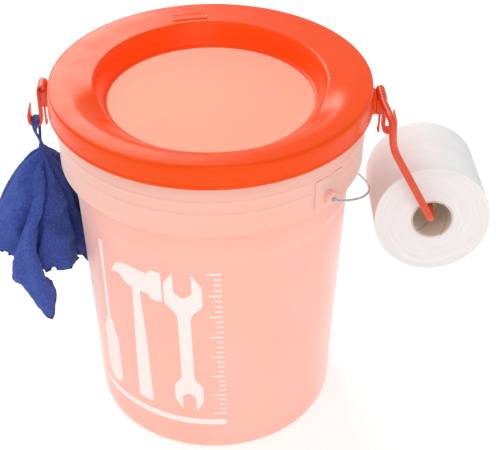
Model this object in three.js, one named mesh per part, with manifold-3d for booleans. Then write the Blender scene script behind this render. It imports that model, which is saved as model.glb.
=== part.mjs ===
// Bucket organizer: a five-gallon bucket with a seat ring pressed on its rim.
// Two clips slide onto T-rails at the sides of the ring. The left clip's hook
// holds a cloth, and the right clip's socket holds a bent arm with a roll.
//
// Millimetres, +Z up. The origin is the centre of the bucket's underside. The
// roll is on the +X side, the cloth on the -X side, and the front is at -Y.

import * as THREE from 'three';
import { mergeVertices } from 'three/addons/utils/BufferGeometryUtils.js';
import Module from 'manifold-3d';

const wasm = await Module();
wasm.setup();

// ---------------------------------------------------------------- dimensions

const GAP = 0.3;
const ROUND_STEPS = 56;

// Bucket
const BUCKET_HEIGHT = 368;
const BASE_RADIUS = 127.7;
const COLLAR_RADIUS = 150;
const COLLAR_BOTTOM = 299;
const COLLAR_TOP = 352;
const COLLAR_WALL = 2.2;
const WALL_RADIUS_AT_COLLAR = 139.2;
const BUCKET_WALL = 2.4;
const FLOOR_THICKNESS = 3.6;
const RIM_RADIUS = 147.5;
const RIM_NECK_RADIUS = 145.5;
const RIM_BEAD_HEIGHT = 6;
const RIB_HEIGHTS = [323.5, 337];
const RIB_PROUD = 0.8;

// Bucket ears, on a diameter turned from the X axis
const EAR_ANGLE = THREE.MathUtils.degToRad(-45);
const EAR_HEIGHT = 311;
const EAR_PLATE_WIDTH = 36;
const EAR_PLATE_HEIGHT = 30;
const EAR_PLATE_RADIUS = 151.6;
const EAR_PLATE_TOP = 335;
const EAR_BOSS_RADIUS = 7;
const EAR_BOSS_REACH = 156.5;
const EAR_HOLE_RADIUS = 1.7;

// Bail: a wire bow that rests against the back of the wall on its grip
const WIRE_RADIUS = 1.2;
const BAIL_HALF_WIDTH = 160;
const BAIL_REACH = 165.5;
const BAIL_REST_ANGLE = THREE.MathUtils.degToRad(28.5);
const BAIL_STRAIGHT_HALF = 42;
const BAIL_POINTEDNESS = 1.08;
const BAIL_PIN_END = 150.9;
const GRIP_LENGTH = 78;
const GRIP_RADIUS = 7.5;
const GRIP_BORE = 1.6;

// Seat ring
const RING_RADIUS = 157.3;
const RING_TOP = 379.6;
const SKIRT_BOTTOM = 356;
const SKIRT_INNER = 154.2;
const CREST_RADIUS = 139;
const LIP_RADIUS = 104;
const LIP_HEIGHT = 358.8;
const BEAD_RADIUS = 100.4;
const SHELL = 3.1;
// The dish falls from the crest to the lip. At the front it is a gentle slope.
// At the back it is a flat shelf and a steep wall, so its shape turns from one
// to the other between two angles from the front.
const DISH_STEPS = [0.07, 0.14, 0.21, 0.28, 0.42, 0.6, 0.8];
const GENTLE_FALL = [1.12, 0.76, -0.88];
const STEEP_SHARE = 0.25;
const STEEP_DEPTH = 0.96;
const STEEP_CURVE = 1.5;
const GENTLE_TO = 50;
const STEEP_FROM = 85;
const DISH_SHELL_OUT = 2;
const SEAT_RIB = [142.6, 145.2];
const SNAP_WALL = [148.3, 150.3];
const SNAP_WALL_BOTTOM = 358;
const PLATE_SIZE = [38, 12];
const PLATE_RADIUS = 124.5;
const PLATE_AZIMUTH = THREE.MathUtils.degToRad(99.6);
const PLATE_TILT = THREE.MathUtils.degToRad(1.5);
const PLATE_DEPTH = 2;
const PLATE_PROUD = 0.9;
const PLATE_BELOW_CREST = 0.5;

// T-rails on the skirt, and the clips that slide onto them
const CLIP_OFFSET = 12;
const RAIL_BOTTOM = 345;
const RAIL_TOP = 359;
const RAIL_PAD = { from: 155, to: 158.4, half: 8, top: 366 };
const RAIL_STEM = { from: 158, to: 160.6, half: 2.2, top: RAIL_TOP };
const RAIL_HEAD = { from: 160.4, to: 162.4, half: 5, top: RAIL_TOP };
const TUBE_AXIS_X = 163.5;
const TUBE_AXIS_Z = 364;
const TUBE_RADIUS = 4.6;
const TUBE_BORE = 3.2;
const TUBE_LENGTH = 17;
const HOOK_WIDTH = 12;
const HOOK_THICKNESS = 3;
const HOOK_CENTRE_OUT = 10;
const HOOK_CENTRE_DOWN = 36;
const HOOK_INNER_RADIUS = 4.4;
const HOOK_TIP_DOWN = 20;
const PRONG_TIP_HALF = 1;
const CLIP_WALL = 2.2;
const TONGUE = { bottom: 322, half: 4, thick: 1.4, barb: 2.4 };

// Roll and its arm
const ROLL_RADIUS = 58;
const ROLL_LENGTH = 108;
const CORE_RADIUS = 20.6;
const CORE_BORE = 19.3;
const ROLL_FRONT = new THREE.Vector3(218, -53, 241.9);
const ROLL_PITCH = THREE.MathUtils.degToRad(7.5);
const ROLL_YAW = THREE.MathUtils.degToRad(2.5);
const ROD_RADIUS = 3.7;
const SPIGOT_RADIUS = 2.8;
// The arm leaves the socket, turns down in a plane in front of the roll, and
// its elbow turns back into the core. Each row is a place on the X and Z axes.
const ARM_PLANE = -61;
const ARM_TOP = [168.6, 361.5];
const ARM_KNEE = [170.6, 333];
const ARM_ELBOW = [215.6, 247];
const SPINDLE_TIP = { x: 219.6, y: 2 };
const CAP_LENGTH = 2.4;
const SHOULDER_LENGTH = 3.1;
const SPIGOT_PAST_SOCKET = 3.4;
const O_RING_HALF = 0.8;
const GROOVE_DEPTH = 0.8;

// Cloth and its hanging loop
const LOOP_WIDTH = 7.4;
const LOOP_THICKNESS = 2;
const CLOTH_TOP = 304;

// ---------------------------------------------------------------- materials

function plastic(colour, roughness = 0.35) {
  return new THREE.MeshStandardMaterial({ color: colour, roughness, metalness: 0 });
}

const bucketPlastic = plastic(0xf9b9a4, 0.45);
const orangePlastic = plastic(0xf8571f, 0.28);
const clipPlastic = plastic(0xe0401a, 0.35);
const gripPlastic = plastic(0xe9e6e0, 0.5);
const rubber = plastic(0x2b2b2c, 0.8);
const paper = plastic(0xeeeae6, 0.95);
const cardboard = plastic(0xb9a58c, 0.9);
const fabric = plastic(0x3347a0, 0.95);
const ribbon = plastic(0x2a3a86, 0.9);
const zincWire = new THREE.MeshStandardMaterial({
  color: 0xa9abac, roughness: 0.35, metalness: 0.9,
});
const coatedSteel = new THREE.MeshStandardMaterial({
  color: 0xd84a22, roughness: 0.32, metalness: 0.1,
});

// ------------------------------------------------------------ solid helpers

function signedVolume(geometry) {
  const point = geometry.attributes.position;
  const index = geometry.index;
  const corners = [new THREE.Vector3(), new THREE.Vector3(), new THREE.Vector3()];
  let volume = 0;
  for (let i = 0; i < index.count; i += 3) {
    corners.forEach((corner, k) => corner.fromBufferAttribute(point, index.getX(i + k)));
    volume += corners[0].dot(corners[1].cross(corners[2])) / 6;
  }
  return volume;
}

// Shares the vertices of a closed surface, drops triangles with no area at the
// axis of a lathe, and turns the surface outward.
function closed(source) {
  const bare = source.clone();
  bare.deleteAttribute('normal');
  bare.deleteAttribute('uv');
  const merged = mergeVertices(bare, 1e-4);
  const corners = merged.index.array;
  const kept = [];
  for (let i = 0; i < corners.length; i += 3) {
    const [a, b, c] = [corners[i], corners[i + 1], corners[i + 2]];
    if (a !== b && b !== c && c !== a) {
      kept.push(a, b, c);
    }
  }
  merged.setIndex(kept);
  if (signedVolume(merged) < 0) {
    for (let i = 0; i < kept.length; i += 3) {
      [kept[i + 1], kept[i + 2]] = [kept[i + 2], kept[i + 1]];
    }
    merged.setIndex(kept);
  }
  return merged;
}

function toManifold(geometry) {
  const shared = closed(geometry);
  return new wasm.Manifold(new wasm.Mesh({
    numProp: 3,
    vertProperties: new Float32Array(shared.attributes.position.array),
    triVerts: new Uint32Array(shared.index.array),
  }));
}

function fromManifold(manifold) {
  const mesh = manifold.getMesh();
  const geometry = new THREE.BufferGeometry();
  geometry.setAttribute('position', new THREE.BufferAttribute(mesh.vertProperties, 3));
  geometry.setIndex(new THREE.BufferAttribute(mesh.triVerts, 1));
  return geometry;
}

function joined(...geometries) {
  return fromManifold(geometries.map(toManifold).reduce((all, next) => all.add(next)));
}

function cut(geometry, ...tools) {
  return fromManifold(tools.reduce((rest, tool) => rest.subtract(toManifold(tool)),
    toManifold(geometry)));
}

// A box between two corners.
function block(from, to) {
  const size = to.map((value, axis) => value - from[axis]);
  const geometry = new THREE.BoxGeometry(...size);
  return geometry.translate(...from.map((value, axis) => value + size[axis] / 2));
}

// A cylinder along Y between two places on it.
function barrel(radius, fromY, toY, steps = 20) {
  const geometry = new THREE.CylinderGeometry(radius, radius, toY - fromY, steps);
  return geometry.translate(0, (fromY + toY) / 2, 0);
}

// A closed radius-and-height outline turned about the Z axis.
function turned(outline, steps = ROUND_STEPS) {
  return new THREE.LatheGeometry(outline, steps).rotateX(Math.PI / 2);
}

// An outline in the XZ plane, pushed along Y about the plane y = 0.
function slab(shape, width, curveSegments = 6) {
  const geometry = new THREE.ExtrudeGeometry(shape, {
    depth: width, bevelEnabled: false, curveSegments,
  });
  return geometry.rotateX(Math.PI / 2).translate(0, width / 2, 0);
}

// A round bar of constant section along a curve.
function bar(curve, radius, steps, sides) {
  const section = new THREE.Shape();
  section.absarc(0, 0, radius, 0, 2 * Math.PI, false);
  return new THREE.ExtrudeGeometry(section, {
    extrudePath: curve, steps, bevelEnabled: false, curveSegments: sides,
  });
}

function bucketWallRadius(height) {
  const slope = (WALL_RADIUS_AT_COLLAR - BASE_RADIUS) / COLLAR_BOTTOM;
  return BASE_RADIUS + slope * height;
}

// ------------------------------------------------------------------- bucket

function bucketOutline() {
  const gapTop = COLLAR_TOP - 3;
  const rimBottom = BUCKET_HEIGHT - RIM_BEAD_HEIGHT;
  const outline = new THREE.Path();
  outline.moveTo(0, 0);
  outline.lineTo(BASE_RADIUS - 2.5, 0);
  outline.quadraticCurveTo(BASE_RADIUS, 0, bucketWallRadius(3), 3);
  outline.lineTo(bucketWallRadius(gapTop), gapTop);
  outline.lineTo(COLLAR_RADIUS - COLLAR_WALL, gapTop);
  outline.lineTo(COLLAR_RADIUS - COLLAR_WALL, COLLAR_BOTTOM);
  outline.lineTo(COLLAR_RADIUS, COLLAR_BOTTOM);
  for (const rib of RIB_HEIGHTS) {
    outline.lineTo(COLLAR_RADIUS, rib - 1.6);
    outline.lineTo(COLLAR_RADIUS + RIB_PROUD, rib);
    outline.lineTo(COLLAR_RADIUS, rib + 1.6);
  }
  outline.lineTo(COLLAR_RADIUS, COLLAR_TOP);
  outline.lineTo(RIM_NECK_RADIUS, COLLAR_TOP + 1);
  outline.lineTo(RIM_NECK_RADIUS, rimBottom - 1);
  outline.lineTo(RIM_RADIUS, rimBottom + 0.5);
  outline.lineTo(RIM_RADIUS, BUCKET_HEIGHT - 1);
  outline.lineTo(RIM_RADIUS - 1, BUCKET_HEIGHT);
  outline.lineTo(bucketWallRadius(BUCKET_HEIGHT) - 1, BUCKET_HEIGHT);
  outline.lineTo(bucketWallRadius(BUCKET_HEIGHT) - BUCKET_WALL, BUCKET_HEIGHT - 1.5);
  outline.lineTo(bucketWallRadius(8) - BUCKET_WALL, 8);
  outline.lineTo(bucketWallRadius(0) - BUCKET_WALL - 4, FLOOR_THICKNESS);
  outline.lineTo(0, FLOOR_THICKNESS);
  return outline.getPoints(3);
}

// One ear: a plate on the collar and a boss whose bore takes the bail's end.
// It is built on the +X side and turned to its place about the Z axis.
function earSolids(angle) {
  const root = COLLAR_RADIUS - COLLAR_WALL;
  const plate = block(
    [root - 0.8, -EAR_PLATE_WIDTH / 2, EAR_PLATE_TOP - EAR_PLATE_HEIGHT],
    [EAR_PLATE_RADIUS, EAR_PLATE_WIDTH / 2, EAR_PLATE_TOP],
  );
  const boss = barrel(EAR_BOSS_RADIUS, root, EAR_BOSS_REACH);
  boss.rotateZ(-Math.PI / 2).translate(0, 0, EAR_HEIGHT);
  const bore = barrel(EAR_HOLE_RADIUS, root - 2, EAR_BOSS_REACH + 1, 12);
  bore.rotateZ(-Math.PI / 2).translate(0, 0, EAR_HEIGHT);
  return {
    added: [plate, boss].map((geometry) => geometry.rotateZ(angle)),
    bore: bore.rotateZ(angle),
  };
}

function bucketShell() {
  const ears = [EAR_ANGLE, EAR_ANGLE + Math.PI].map(earSolids);
  const body = joined(turned(bucketOutline()), ...ears.flatMap((ear) => ear.added));
  return cut(body, ...ears.map((ear) => ear.bore));
}

// --------------------------------------------------------------------- bail

// A place in the bail's plane: along the ear axis, and out from it. The plane
// slopes down from the ears towards the back right.
function bailPoint(along, out) {
  const axis = new THREE.Vector3(Math.cos(EAR_ANGLE), Math.sin(EAR_ANGLE), 0);
  const level = new THREE.Vector3(-axis.y, axis.x, 0);
  return new THREE.Vector3(0, 0, EAR_HEIGHT)
    .addScaledVector(axis, along)
    .addScaledVector(level, out * Math.cos(BAIL_REST_ANGLE))
    .add(new THREE.Vector3(0, 0, -out * Math.sin(BAIL_REST_ANGLE)));
}

// One half of the bow: the pin in the ear, its bend, a quarter of an ellipse
// and half of the straight under the grip.
function bailHalf(side) {
  const quarter = BAIL_HALF_WIDTH - BAIL_STRAIGHT_HALF;
  const places = [[BAIL_PIN_END, 0], [156.6, 0], [159.2, 1.4], [160.4, 4.6]];
  for (let degrees = 6; degrees < 90; degrees += 12) {
    const turn = THREE.MathUtils.degToRad(degrees);
    const across = Math.cos(turn) ** BAIL_POINTEDNESS;
    const down = Math.sin(turn) ** BAIL_POINTEDNESS;
    places.push([BAIL_STRAIGHT_HALF + quarter * across, BAIL_REACH * down]);
  }
  places.push([BAIL_STRAIGHT_HALF, BAIL_REACH], [BAIL_STRAIGHT_HALF / 2, BAIL_REACH]);
  return places.map(([along, out]) => bailPoint(side * along, out));
}

function bailWire() {
  const places = [...bailHalf(1), ...bailHalf(-1).reverse()];
  const curve = new THREE.CatmullRomCurve3(places, false, 'centripetal');
  return bar(curve, WIRE_RADIUS, 78, 4);
}

function bailGrip() {
  const half = GRIP_LENGTH / 2;
  const outline = new THREE.Path();
  outline.moveTo(GRIP_BORE, -half);
  outline.lineTo(GRIP_RADIUS - 1.5, -half);
  outline.lineTo(GRIP_RADIUS, -half + 1.5);
  outline.lineTo(GRIP_RADIUS, half - 1.5);
  outline.lineTo(GRIP_RADIUS - 1.5, half);
  outline.lineTo(GRIP_BORE, half);
  outline.closePath();
  const grip = new THREE.LatheGeometry(outline.getPoints(1), 20);
  const centre = bailPoint(0, BAIL_REACH);
  return grip.rotateZ(Math.PI / 2).rotateZ(EAR_ANGLE).translate(centre.x, centre.y, centre.z);
}

// ---------------------------------------------------------------- seat ring

// Heights of the dish above its lip, as shares of its depth, at a share of the
// way out from the lip to the crest.
function gentleDish(share) {
  const [slope, bend, ease] = GENTLE_FALL;
  return share * (slope + share * (bend + share * ease));
}

function steepDish(share) {
  if (share < STEEP_SHARE) {
    return STEEP_DEPTH * (1 - (1 - share / STEEP_SHARE) ** STEEP_CURVE);
  }
  return STEEP_DEPTH + (1 - STEEP_DEPTH) * (share - STEEP_SHARE) / (1 - STEEP_SHARE);
}

function dishHeight(share) {
  return LIP_HEIGHT + (RING_TOP - LIP_HEIGHT) * gentleDish(share);
}

function ringOutline() {
  const under = RING_TOP - SHELL;
  const reach = CREST_RADIUS - LIP_RADIUS;
  const outline = new THREE.Path();
  outline.moveTo(SKIRT_INNER, SKIRT_BOTTOM);
  outline.lineTo(RING_RADIUS, SKIRT_BOTTOM);
  outline.lineTo(RING_RADIUS - 1.4, RING_TOP - 6);
  outline.quadraticCurveTo(RING_RADIUS - 1.8, RING_TOP - 1, RING_RADIUS - 6.5, RING_TOP - 0.4);
  outline.lineTo(CREST_RADIUS, RING_TOP);
  for (const share of [...DISH_STEPS].reverse()) {
    outline.lineTo(LIP_RADIUS + reach * share, dishHeight(share));
  }
  outline.lineTo(LIP_RADIUS, LIP_HEIGHT);
  outline.lineTo(LIP_RADIUS - 0.6, LIP_HEIGHT - 1.4);
  outline.lineTo(BEAD_RADIUS, LIP_HEIGHT - 1.8);
  outline.lineTo(BEAD_RADIUS, LIP_HEIGHT - 4);
  outline.lineTo(LIP_RADIUS + 0.6, LIP_HEIGHT - 4);
  for (const share of DISH_STEPS) {
    outline.lineTo(LIP_RADIUS + DISH_SHELL_OUT + reach * share, dishHeight(share) - SHELL);
  }
  outline.lineTo(CREST_RADIUS + DISH_SHELL_OUT, under);
  outline.lineTo(SEAT_RIB[0], under);
  outline.lineTo(SEAT_RIB[0], BUCKET_HEIGHT + GAP);
  outline.lineTo(SEAT_RIB[1], BUCKET_HEIGHT + GAP);
  outline.lineTo(SEAT_RIB[1], under);
  outline.lineTo(SNAP_WALL[0], under);
  outline.lineTo(SNAP_WALL[0], SNAP_WALL_BOTTOM + 3.6);
  outline.lineTo(SNAP_WALL[0] - 0.4, SNAP_WALL_BOTTOM + 2.4);
  outline.lineTo(SNAP_WALL[0], SNAP_WALL_BOTTOM);
  outline.lineTo(SNAP_WALL[1], SNAP_WALL_BOTTOM);
  outline.lineTo(SNAP_WALL[1], under);
  outline.lineTo(RING_RADIUS - 6.5, under);
  outline.lineTo(RING_RADIUS - 4, under - 3);
  outline.closePath();
  return outline.getPoints(5);
}

// Raises the dish of a turned ring from the gentle shape to the steep one, more
// with the angle from the front. The underside rises with the face above it.
function steepenedAtTheBack(ring) {
  const point = ring.attributes.position;
  const reach = CREST_RADIUS - LIP_RADIUS;
  for (let i = 0; i < point.count; i += 1) {
    const radius = Math.hypot(point.getX(i), point.getY(i));
    const fromFront = THREE.MathUtils.radToDeg(Math.abs(Math.atan2(point.getX(i), -point.getY(i))));
    const steep = THREE.MathUtils.smoothstep(fromFront, GENTLE_TO, STEEP_FROM);
    const onTop = point.getZ(i) > dishHeight((radius - LIP_RADIUS) / reach) - 0.1;
    const share = (radius - LIP_RADIUS - (onTop ? 0 : DISH_SHELL_OUT)) / reach;
    if (share > 0.01 && share < 1) {
      const rise = (RING_TOP - LIP_HEIGHT) * (steepDish(share) - gentleDish(share));
      point.setZ(i, point.getZ(i) + steep * rise);
    }
  }
  return ring;
}

// A rail on the +X side, its middle at y = offset.
function railBlocks(side, offset) {
  return [RAIL_PAD, RAIL_STEM, RAIL_HEAD].map(({ from, to, half, top }) => {
    const beam = block([from, -half, RAIL_BOTTOM], [to, half, top]);
    return beam.rotateZ(side > 0 ? 0 : Math.PI).translate(0, offset, 0);
  });
}

// A blank raised plate on the shelf at the back of the ring's top.
function blankPlate() {
  const [width, depth] = PLATE_SIZE;
  const plate = block(
    [-depth / 2, -width / 2, -PLATE_DEPTH],
    [depth / 2, width / 2, PLATE_PROUD],
  );
  plate.rotateY(-PLATE_TILT).translate(PLATE_RADIUS, 0, RING_TOP - PLATE_BELOW_CREST);
  return plate.rotateZ(PLATE_AZIMUTH);
}

function seatRing() {
  return joined(
    steepenedAtTheBack(turned(ringOutline())),
    ...railBlocks(1, -CLIP_OFFSET),
    ...railBlocks(-1, CLIP_OFFSET),
    blankPlate(),
  );
}

// -------------------------------------------------------------------- clips

// The hook seen along Y: a shank, a half-round bowl and a pointed prong.
// Distances are measured out and down from the socket's axis.
function hookShape() {
  const outer = HOOK_INNER_RADIUS + HOOK_THICKNESS;
  const bowl = -HOOK_CENTRE_DOWN;
  const shankTop = -TUBE_BORE;
  const prongRoot = bowl + HOOK_INNER_RADIUS + HOOK_THICKNESS / 2;
  const prongTip = HOOK_CENTRE_OUT + HOOK_INNER_RADIUS + 0.5;
  const shape = new THREE.Shape();
  shape.moveTo(HOOK_CENTRE_OUT - outer, shankTop);
  shape.lineTo(HOOK_CENTRE_OUT - outer, bowl);
  shape.absarc(HOOK_CENTRE_OUT, bowl, outer, Math.PI, 2 * Math.PI, false);
  shape.lineTo(HOOK_CENTRE_OUT + outer, prongRoot);
  shape.lineTo(prongTip, -HOOK_TIP_DOWN);
  shape.lineTo(prongTip - 1, -HOOK_TIP_DOWN - HOOK_THICKNESS);
  shape.lineTo(HOOK_CENTRE_OUT + HOOK_INNER_RADIUS, bowl);
  shape.absarc(HOOK_CENTRE_OUT, bowl, HOOK_INNER_RADIUS, 2 * Math.PI, Math.PI, true);
  shape.lineTo(HOOK_CENTRE_OUT - HOOK_INNER_RADIUS, shankTop);
  shape.closePath();
  return shape;
}

// What is cut off each side of the prong to bring it to a point.
function prongCutter(side) {
  const half = HOOK_WIDTH / 2;
  const clear = 2;
  const root = -HOOK_CENTRE_DOWN + HOOK_THICKNESS;
  const shape = new THREE.Shape();
  shape.moveTo(side * PRONG_TIP_HALF, -HOOK_TIP_DOWN + clear);
  shape.lineTo(side * (half + clear), -HOOK_TIP_DOWN + clear);
  shape.lineTo(side * (half + clear), root);
  shape.lineTo(side * half, root);
  shape.lineTo(side * PRONG_TIP_HALF, -HOOK_TIP_DOWN);
  shape.closePath();
  const geometry = new THREE.ExtrudeGeometry(shape, { depth: HOOK_WIDTH, bevelEnabled: false });
  geometry.rotateX(Math.PI / 2).rotateZ(Math.PI / 2);
  return geometry.translate(HOOK_CENTRE_OUT + HOOK_WIDTH, 0, 0);
}

// The clip in its own frame: the socket's axis is the Y axis, and the ring is
// towards -X. Distances from the ring's rail are brought into that frame.
function clipSolid() {
  const near = (x) => x - TUBE_AXIS_X;
  const low = (z) => z - TUBE_AXIS_Z;
  const half = TUBE_LENGTH / 2;
  const side = RAIL_PAD.half;
  const overlap = 0.5;
  const plateInner = near(RAIL_HEAD.to + GAP);
  const plateOuter = plateInner + CLIP_WALL;
  const backFace = near(RAIL_PAD.to + GAP);
  const roof = low(RAIL_TOP + GAP);
  const foot = low(RAIL_BOTTOM);
  const tongueFoot = low(TONGUE.bottom);
  const socket = barrel(TUBE_RADIUS, -half, half, 24);
  const saddle = block([backFace, -side, roof], [plateOuter, side, 0]);
  const front = block([plateInner, -side, foot], [plateOuter, side, roof + overlap]);
  // Two walls beside the rail, from a gap beside it out to the clip's sides.
  const sideWalls = (gapHalf, outerFace) => [-1, 1].map((way) => block(
    [backFace, Math.min(way * gapHalf, way * side), foot],
    [outerFace, Math.max(way * gapHalf, way * side), roof + overlap],
  ));
  const cheeks = sideWalls(RAIL_HEAD.half + GAP, plateInner + overlap);
  const lips = sideWalls(RAIL_STEM.half + GAP, near(RAIL_HEAD.from - GAP));
  const tongue = block(
    [plateInner, -TONGUE.half, tongueFoot],
    [plateInner + TONGUE.thick, TONGUE.half, foot + overlap],
  );
  const barb = block(
    [plateInner - TONGUE.thick / 2, -TONGUE.half, tongueFoot],
    [plateInner + overlap, TONGUE.half, tongueFoot + TONGUE.barb],
  );
  const hook = cut(slab(hookShape(), HOOK_WIDTH), prongCutter(1), prongCutter(-1));
  const body = joined(socket, saddle, front, ...cheeks, ...lips, tongue, barb, hook);
  return cut(body, barrel(TUBE_BORE, -half - 1, half + 1));
}

// ------------------------------------------------------------- arm and roll

const armFront = -CLIP_OFFSET - TUBE_LENGTH / 2;
const armBack = -CLIP_OFFSET + TUBE_LENGTH / 2;

// The direction from the roll's front face to its back face.
function rollAxis() {
  return new THREE.Vector3(
    Math.sin(ROLL_YAW) * Math.cos(ROLL_PITCH),
    Math.cos(ROLL_YAW) * Math.cos(ROLL_PITCH),
    -Math.sin(ROLL_PITCH),
  );
}

// The spindle's tip touches the top of the core's bore near the roll's middle.
function spindleTip() {
  const axis = rollAxis();
  const depth = (SPINDLE_TIP.y - ROLL_FRONT.y) / axis.y;
  const centre = ROLL_FRONT.clone().addScaledVector(axis, depth);
  const rise = CORE_BORE - ROD_RADIUS - 2 * GAP;
  return new THREE.Vector3(SPINDLE_TIP.x, SPINDLE_TIP.y, centre.z + rise);
}

function inArmPlane([x, z]) {
  return new THREE.Vector3(x, ARM_PLANE, z);
}

// Corners of the arm, each with the length of its bend.
function armCorners() {
  return [
    { at: new THREE.Vector3(TUBE_AXIS_X, armFront - GAP, TUBE_AXIS_Z), bend: 0 },
    { at: new THREE.Vector3(TUBE_AXIS_X, armFront - 6, TUBE_AXIS_Z), bend: 4 },
    { at: inArmPlane(ARM_TOP), bend: 7 },
    { at: inArmPlane(ARM_KNEE), bend: 9 },
    { at: inArmPlane(ARM_ELBOW), bend: 6 },
    { at: spindleTip(), bend: 0 },
  ];
}

// A bar through the corners, with a smooth bend at each one.
function bentCurve(corners) {
  const path = new THREE.CurvePath();
  let from = corners[0].at;
  for (let i = 1; i < corners.length - 1; i += 1) {
    const { at, bend } = corners[i];
    const entry = at.clone().lerp(from, bend / at.distanceTo(from));
    const next = corners[i + 1].at;
    const exit = at.clone().lerp(next, bend / at.distanceTo(next));
    path.add(new THREE.LineCurve3(from, entry));
    path.add(new THREE.QuadraticBezierCurve3(entry, at, exit));
    from = exit;
  }
  path.add(new THREE.LineCurve3(from, corners[corners.length - 1].at));
  return path;
}

function armRod() {
  const places = bentCurve(armCorners()).getSpacedPoints(90);
  const curve = new THREE.CatmullRomCurve3(places, false, 'centripetal');
  const rod = bar(curve, ROD_RADIUS, 64, 5);
  const shoulderFace = armFront - GAP;
  const spigot = barrel(SPIGOT_RADIUS, shoulderFace - 1, armBack + SPIGOT_PAST_SOCKET, 16);
  spigot.translate(TUBE_AXIS_X, 0, TUBE_AXIS_Z);
  const shoulder = barrel(TUBE_RADIUS - 0.4, shoulderFace - SHOULDER_LENGTH, shoulderFace, 20);
  shoulder.translate(TUBE_AXIS_X, 0, TUBE_AXIS_Z);
  const grooveHalf = O_RING_HALF + GAP;
  const groove = cut(
    barrel(SPIGOT_RADIUS + 1, -CLIP_OFFSET - grooveHalf, -CLIP_OFFSET + grooveHalf, 16),
    barrel(SPIGOT_RADIUS - GROOVE_DEPTH, -CLIP_OFFSET - 2, -CLIP_OFFSET + 2, 16),
  );
  groove.translate(TUBE_AXIS_X, 0, TUBE_AXIS_Z);
  return cut(joined(rod, spigot, shoulder), groove);
}

// A washer-shaped ring about the socket's axis.
function washer(inner, outer, fromY, toY) {
  const ring = cut(barrel(outer, fromY, toY), barrel(inner, fromY - 1, toY + 1, 16));
  return ring.translate(TUBE_AXIS_X, 0, TUBE_AXIS_Z);
}

// A rubber cap on the end of the spindle.
function tipCap() {
  const corners = armCorners();
  const tip = corners[corners.length - 1].at;
  const along = tip.clone().sub(corners[corners.length - 2].at).normalize();
  const cap = new THREE.CylinderGeometry(ROD_RADIUS - 0.1, ROD_RADIUS, CAP_LENGTH, 16);
  cap.applyQuaternion(new THREE.Quaternion().setFromUnitVectors(
    new THREE.Vector3(0, 1, 0), along,
  ));
  const centre = tip.clone().addScaledVector(along, CAP_LENGTH / 2 + GAP);
  return cap.translate(centre.x, centre.y, centre.z);
}

// A tube about the roll's axis.
function rollTube(inner, outer, steps) {
  const outline = [
    new THREE.Vector2(inner, 0),
    new THREE.Vector2(outer, 0),
    new THREE.Vector2(outer, ROLL_LENGTH),
    new THREE.Vector2(inner, ROLL_LENGTH),
    new THREE.Vector2(inner, 0),
  ];
  const tube = new THREE.LatheGeometry(outline, steps);
  tube.applyQuaternion(new THREE.Quaternion().setFromUnitVectors(
    new THREE.Vector3(0, 1, 0), rollAxis(),
  ));
  return tube.translate(ROLL_FRONT.x, ROLL_FRONT.y, ROLL_FRONT.z);
}

// -------------------------------------------------------------------- cloth

const hookX = -TUBE_AXIS_X - HOOK_CENTRE_OUT;
const hookZ = TUBE_AXIS_Z - HOOK_CENTRE_DOWN;

// A ribbon that passes over the hook's bowl and closes below it. The outline
// is drawn in the YZ plane about the hook's middle.
function loopOutline(shape, half, top) {
  shape.moveTo(half, hookZ - 8);
  shape.lineTo(half, top - 1);
  shape.lineTo(half - 1, top);
  shape.lineTo(-half + 1, top);
  shape.lineTo(-half, top - 1);
  shape.lineTo(-half, hookZ - 8);
}

function clothLoop() {
  const inner = HOOK_WIDTH / 2 + 0.5;
  const outer = inner + LOOP_THICKNESS;
  const innerTop = hookZ - 1.6;
  const shape = new THREE.Shape();
  loopOutline(shape, outer, innerTop + LOOP_THICKNESS);
  shape.lineTo(-3, CLOTH_TOP + 1);
  shape.lineTo(3, CLOTH_TOP + 1);
  shape.closePath();
  const hole = new THREE.Path();
  loopOutline(hole, inner, innerTop);
  hole.lineTo(-1, CLOTH_TOP + 6);
  hole.lineTo(1, CLOTH_TOP + 6);
  hole.closePath();
  shape.holes.push(hole);
  const geometry = new THREE.ExtrudeGeometry(shape, { depth: LOOP_WIDTH, bevelEnabled: false });
  geometry.translate(0, 0, -LOOP_WIDTH / 2).rotateX(Math.PI / 2).rotateZ(Math.PI / 2);
  return geometry.translate(hookX, CLIP_OFFSET, 0);
}

// The hanging cloth's outer shape: middle and half widths at each height.
const CLOTH_SECTIONS = [
  { z: 304, x: -173, y: 12, wide: 5, deep: 5 },
  { z: 280, x: -172, y: 11, wide: 17, deep: 15 },
  { z: 245, x: -176, y: 8, wide: 31, deep: 27 },
  { z: 205, x: -182, y: 5, wide: 39, deep: 38 },
  { z: 175, x: -182, y: 4, wide: 39, deep: 42 },
  { z: 140, x: -174, y: 4, wide: 30, deep: 38 },
  { z: 110, x: -170, y: 3, wide: 22, deep: 26 },
  { z: 90, x: -178, y: 3, wide: 8, deep: 12 },
];

function clothBody() {
  const rows = CLOTH_SECTIONS.length;
  const geometry = new THREE.CylinderGeometry(1, 1, rows - 1, 20, rows - 1);
  geometry.rotateX(Math.PI / 2);
  const point = geometry.attributes.position;
  for (let i = 0; i < point.count; i += 1) {
    const row = Math.round((rows - 1) / 2 - point.getZ(i));
    const { x, y, z, wide, deep } = CLOTH_SECTIONS[row];
    point.setXYZ(i, x + wide * point.getX(i), y + deep * point.getY(i), z);
  }
  return geometry;
}

// ----------------------------------------------------------------- assembly

const organizer = new THREE.Group();

function addPiece(name, geometry, material) {
  const mesh = new THREE.Mesh(closed(geometry), material);
  mesh.name = name;
  organizer.add(mesh);
  return mesh;
}

addPiece('bucket_shell', bucketShell(), bucketPlastic);
addPiece('bail_wire', bailWire(), zincWire);
addPiece('bail_grip', bailGrip(), gripPlastic);
addPiece('seat_ring', seatRing(), orangePlastic);

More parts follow.
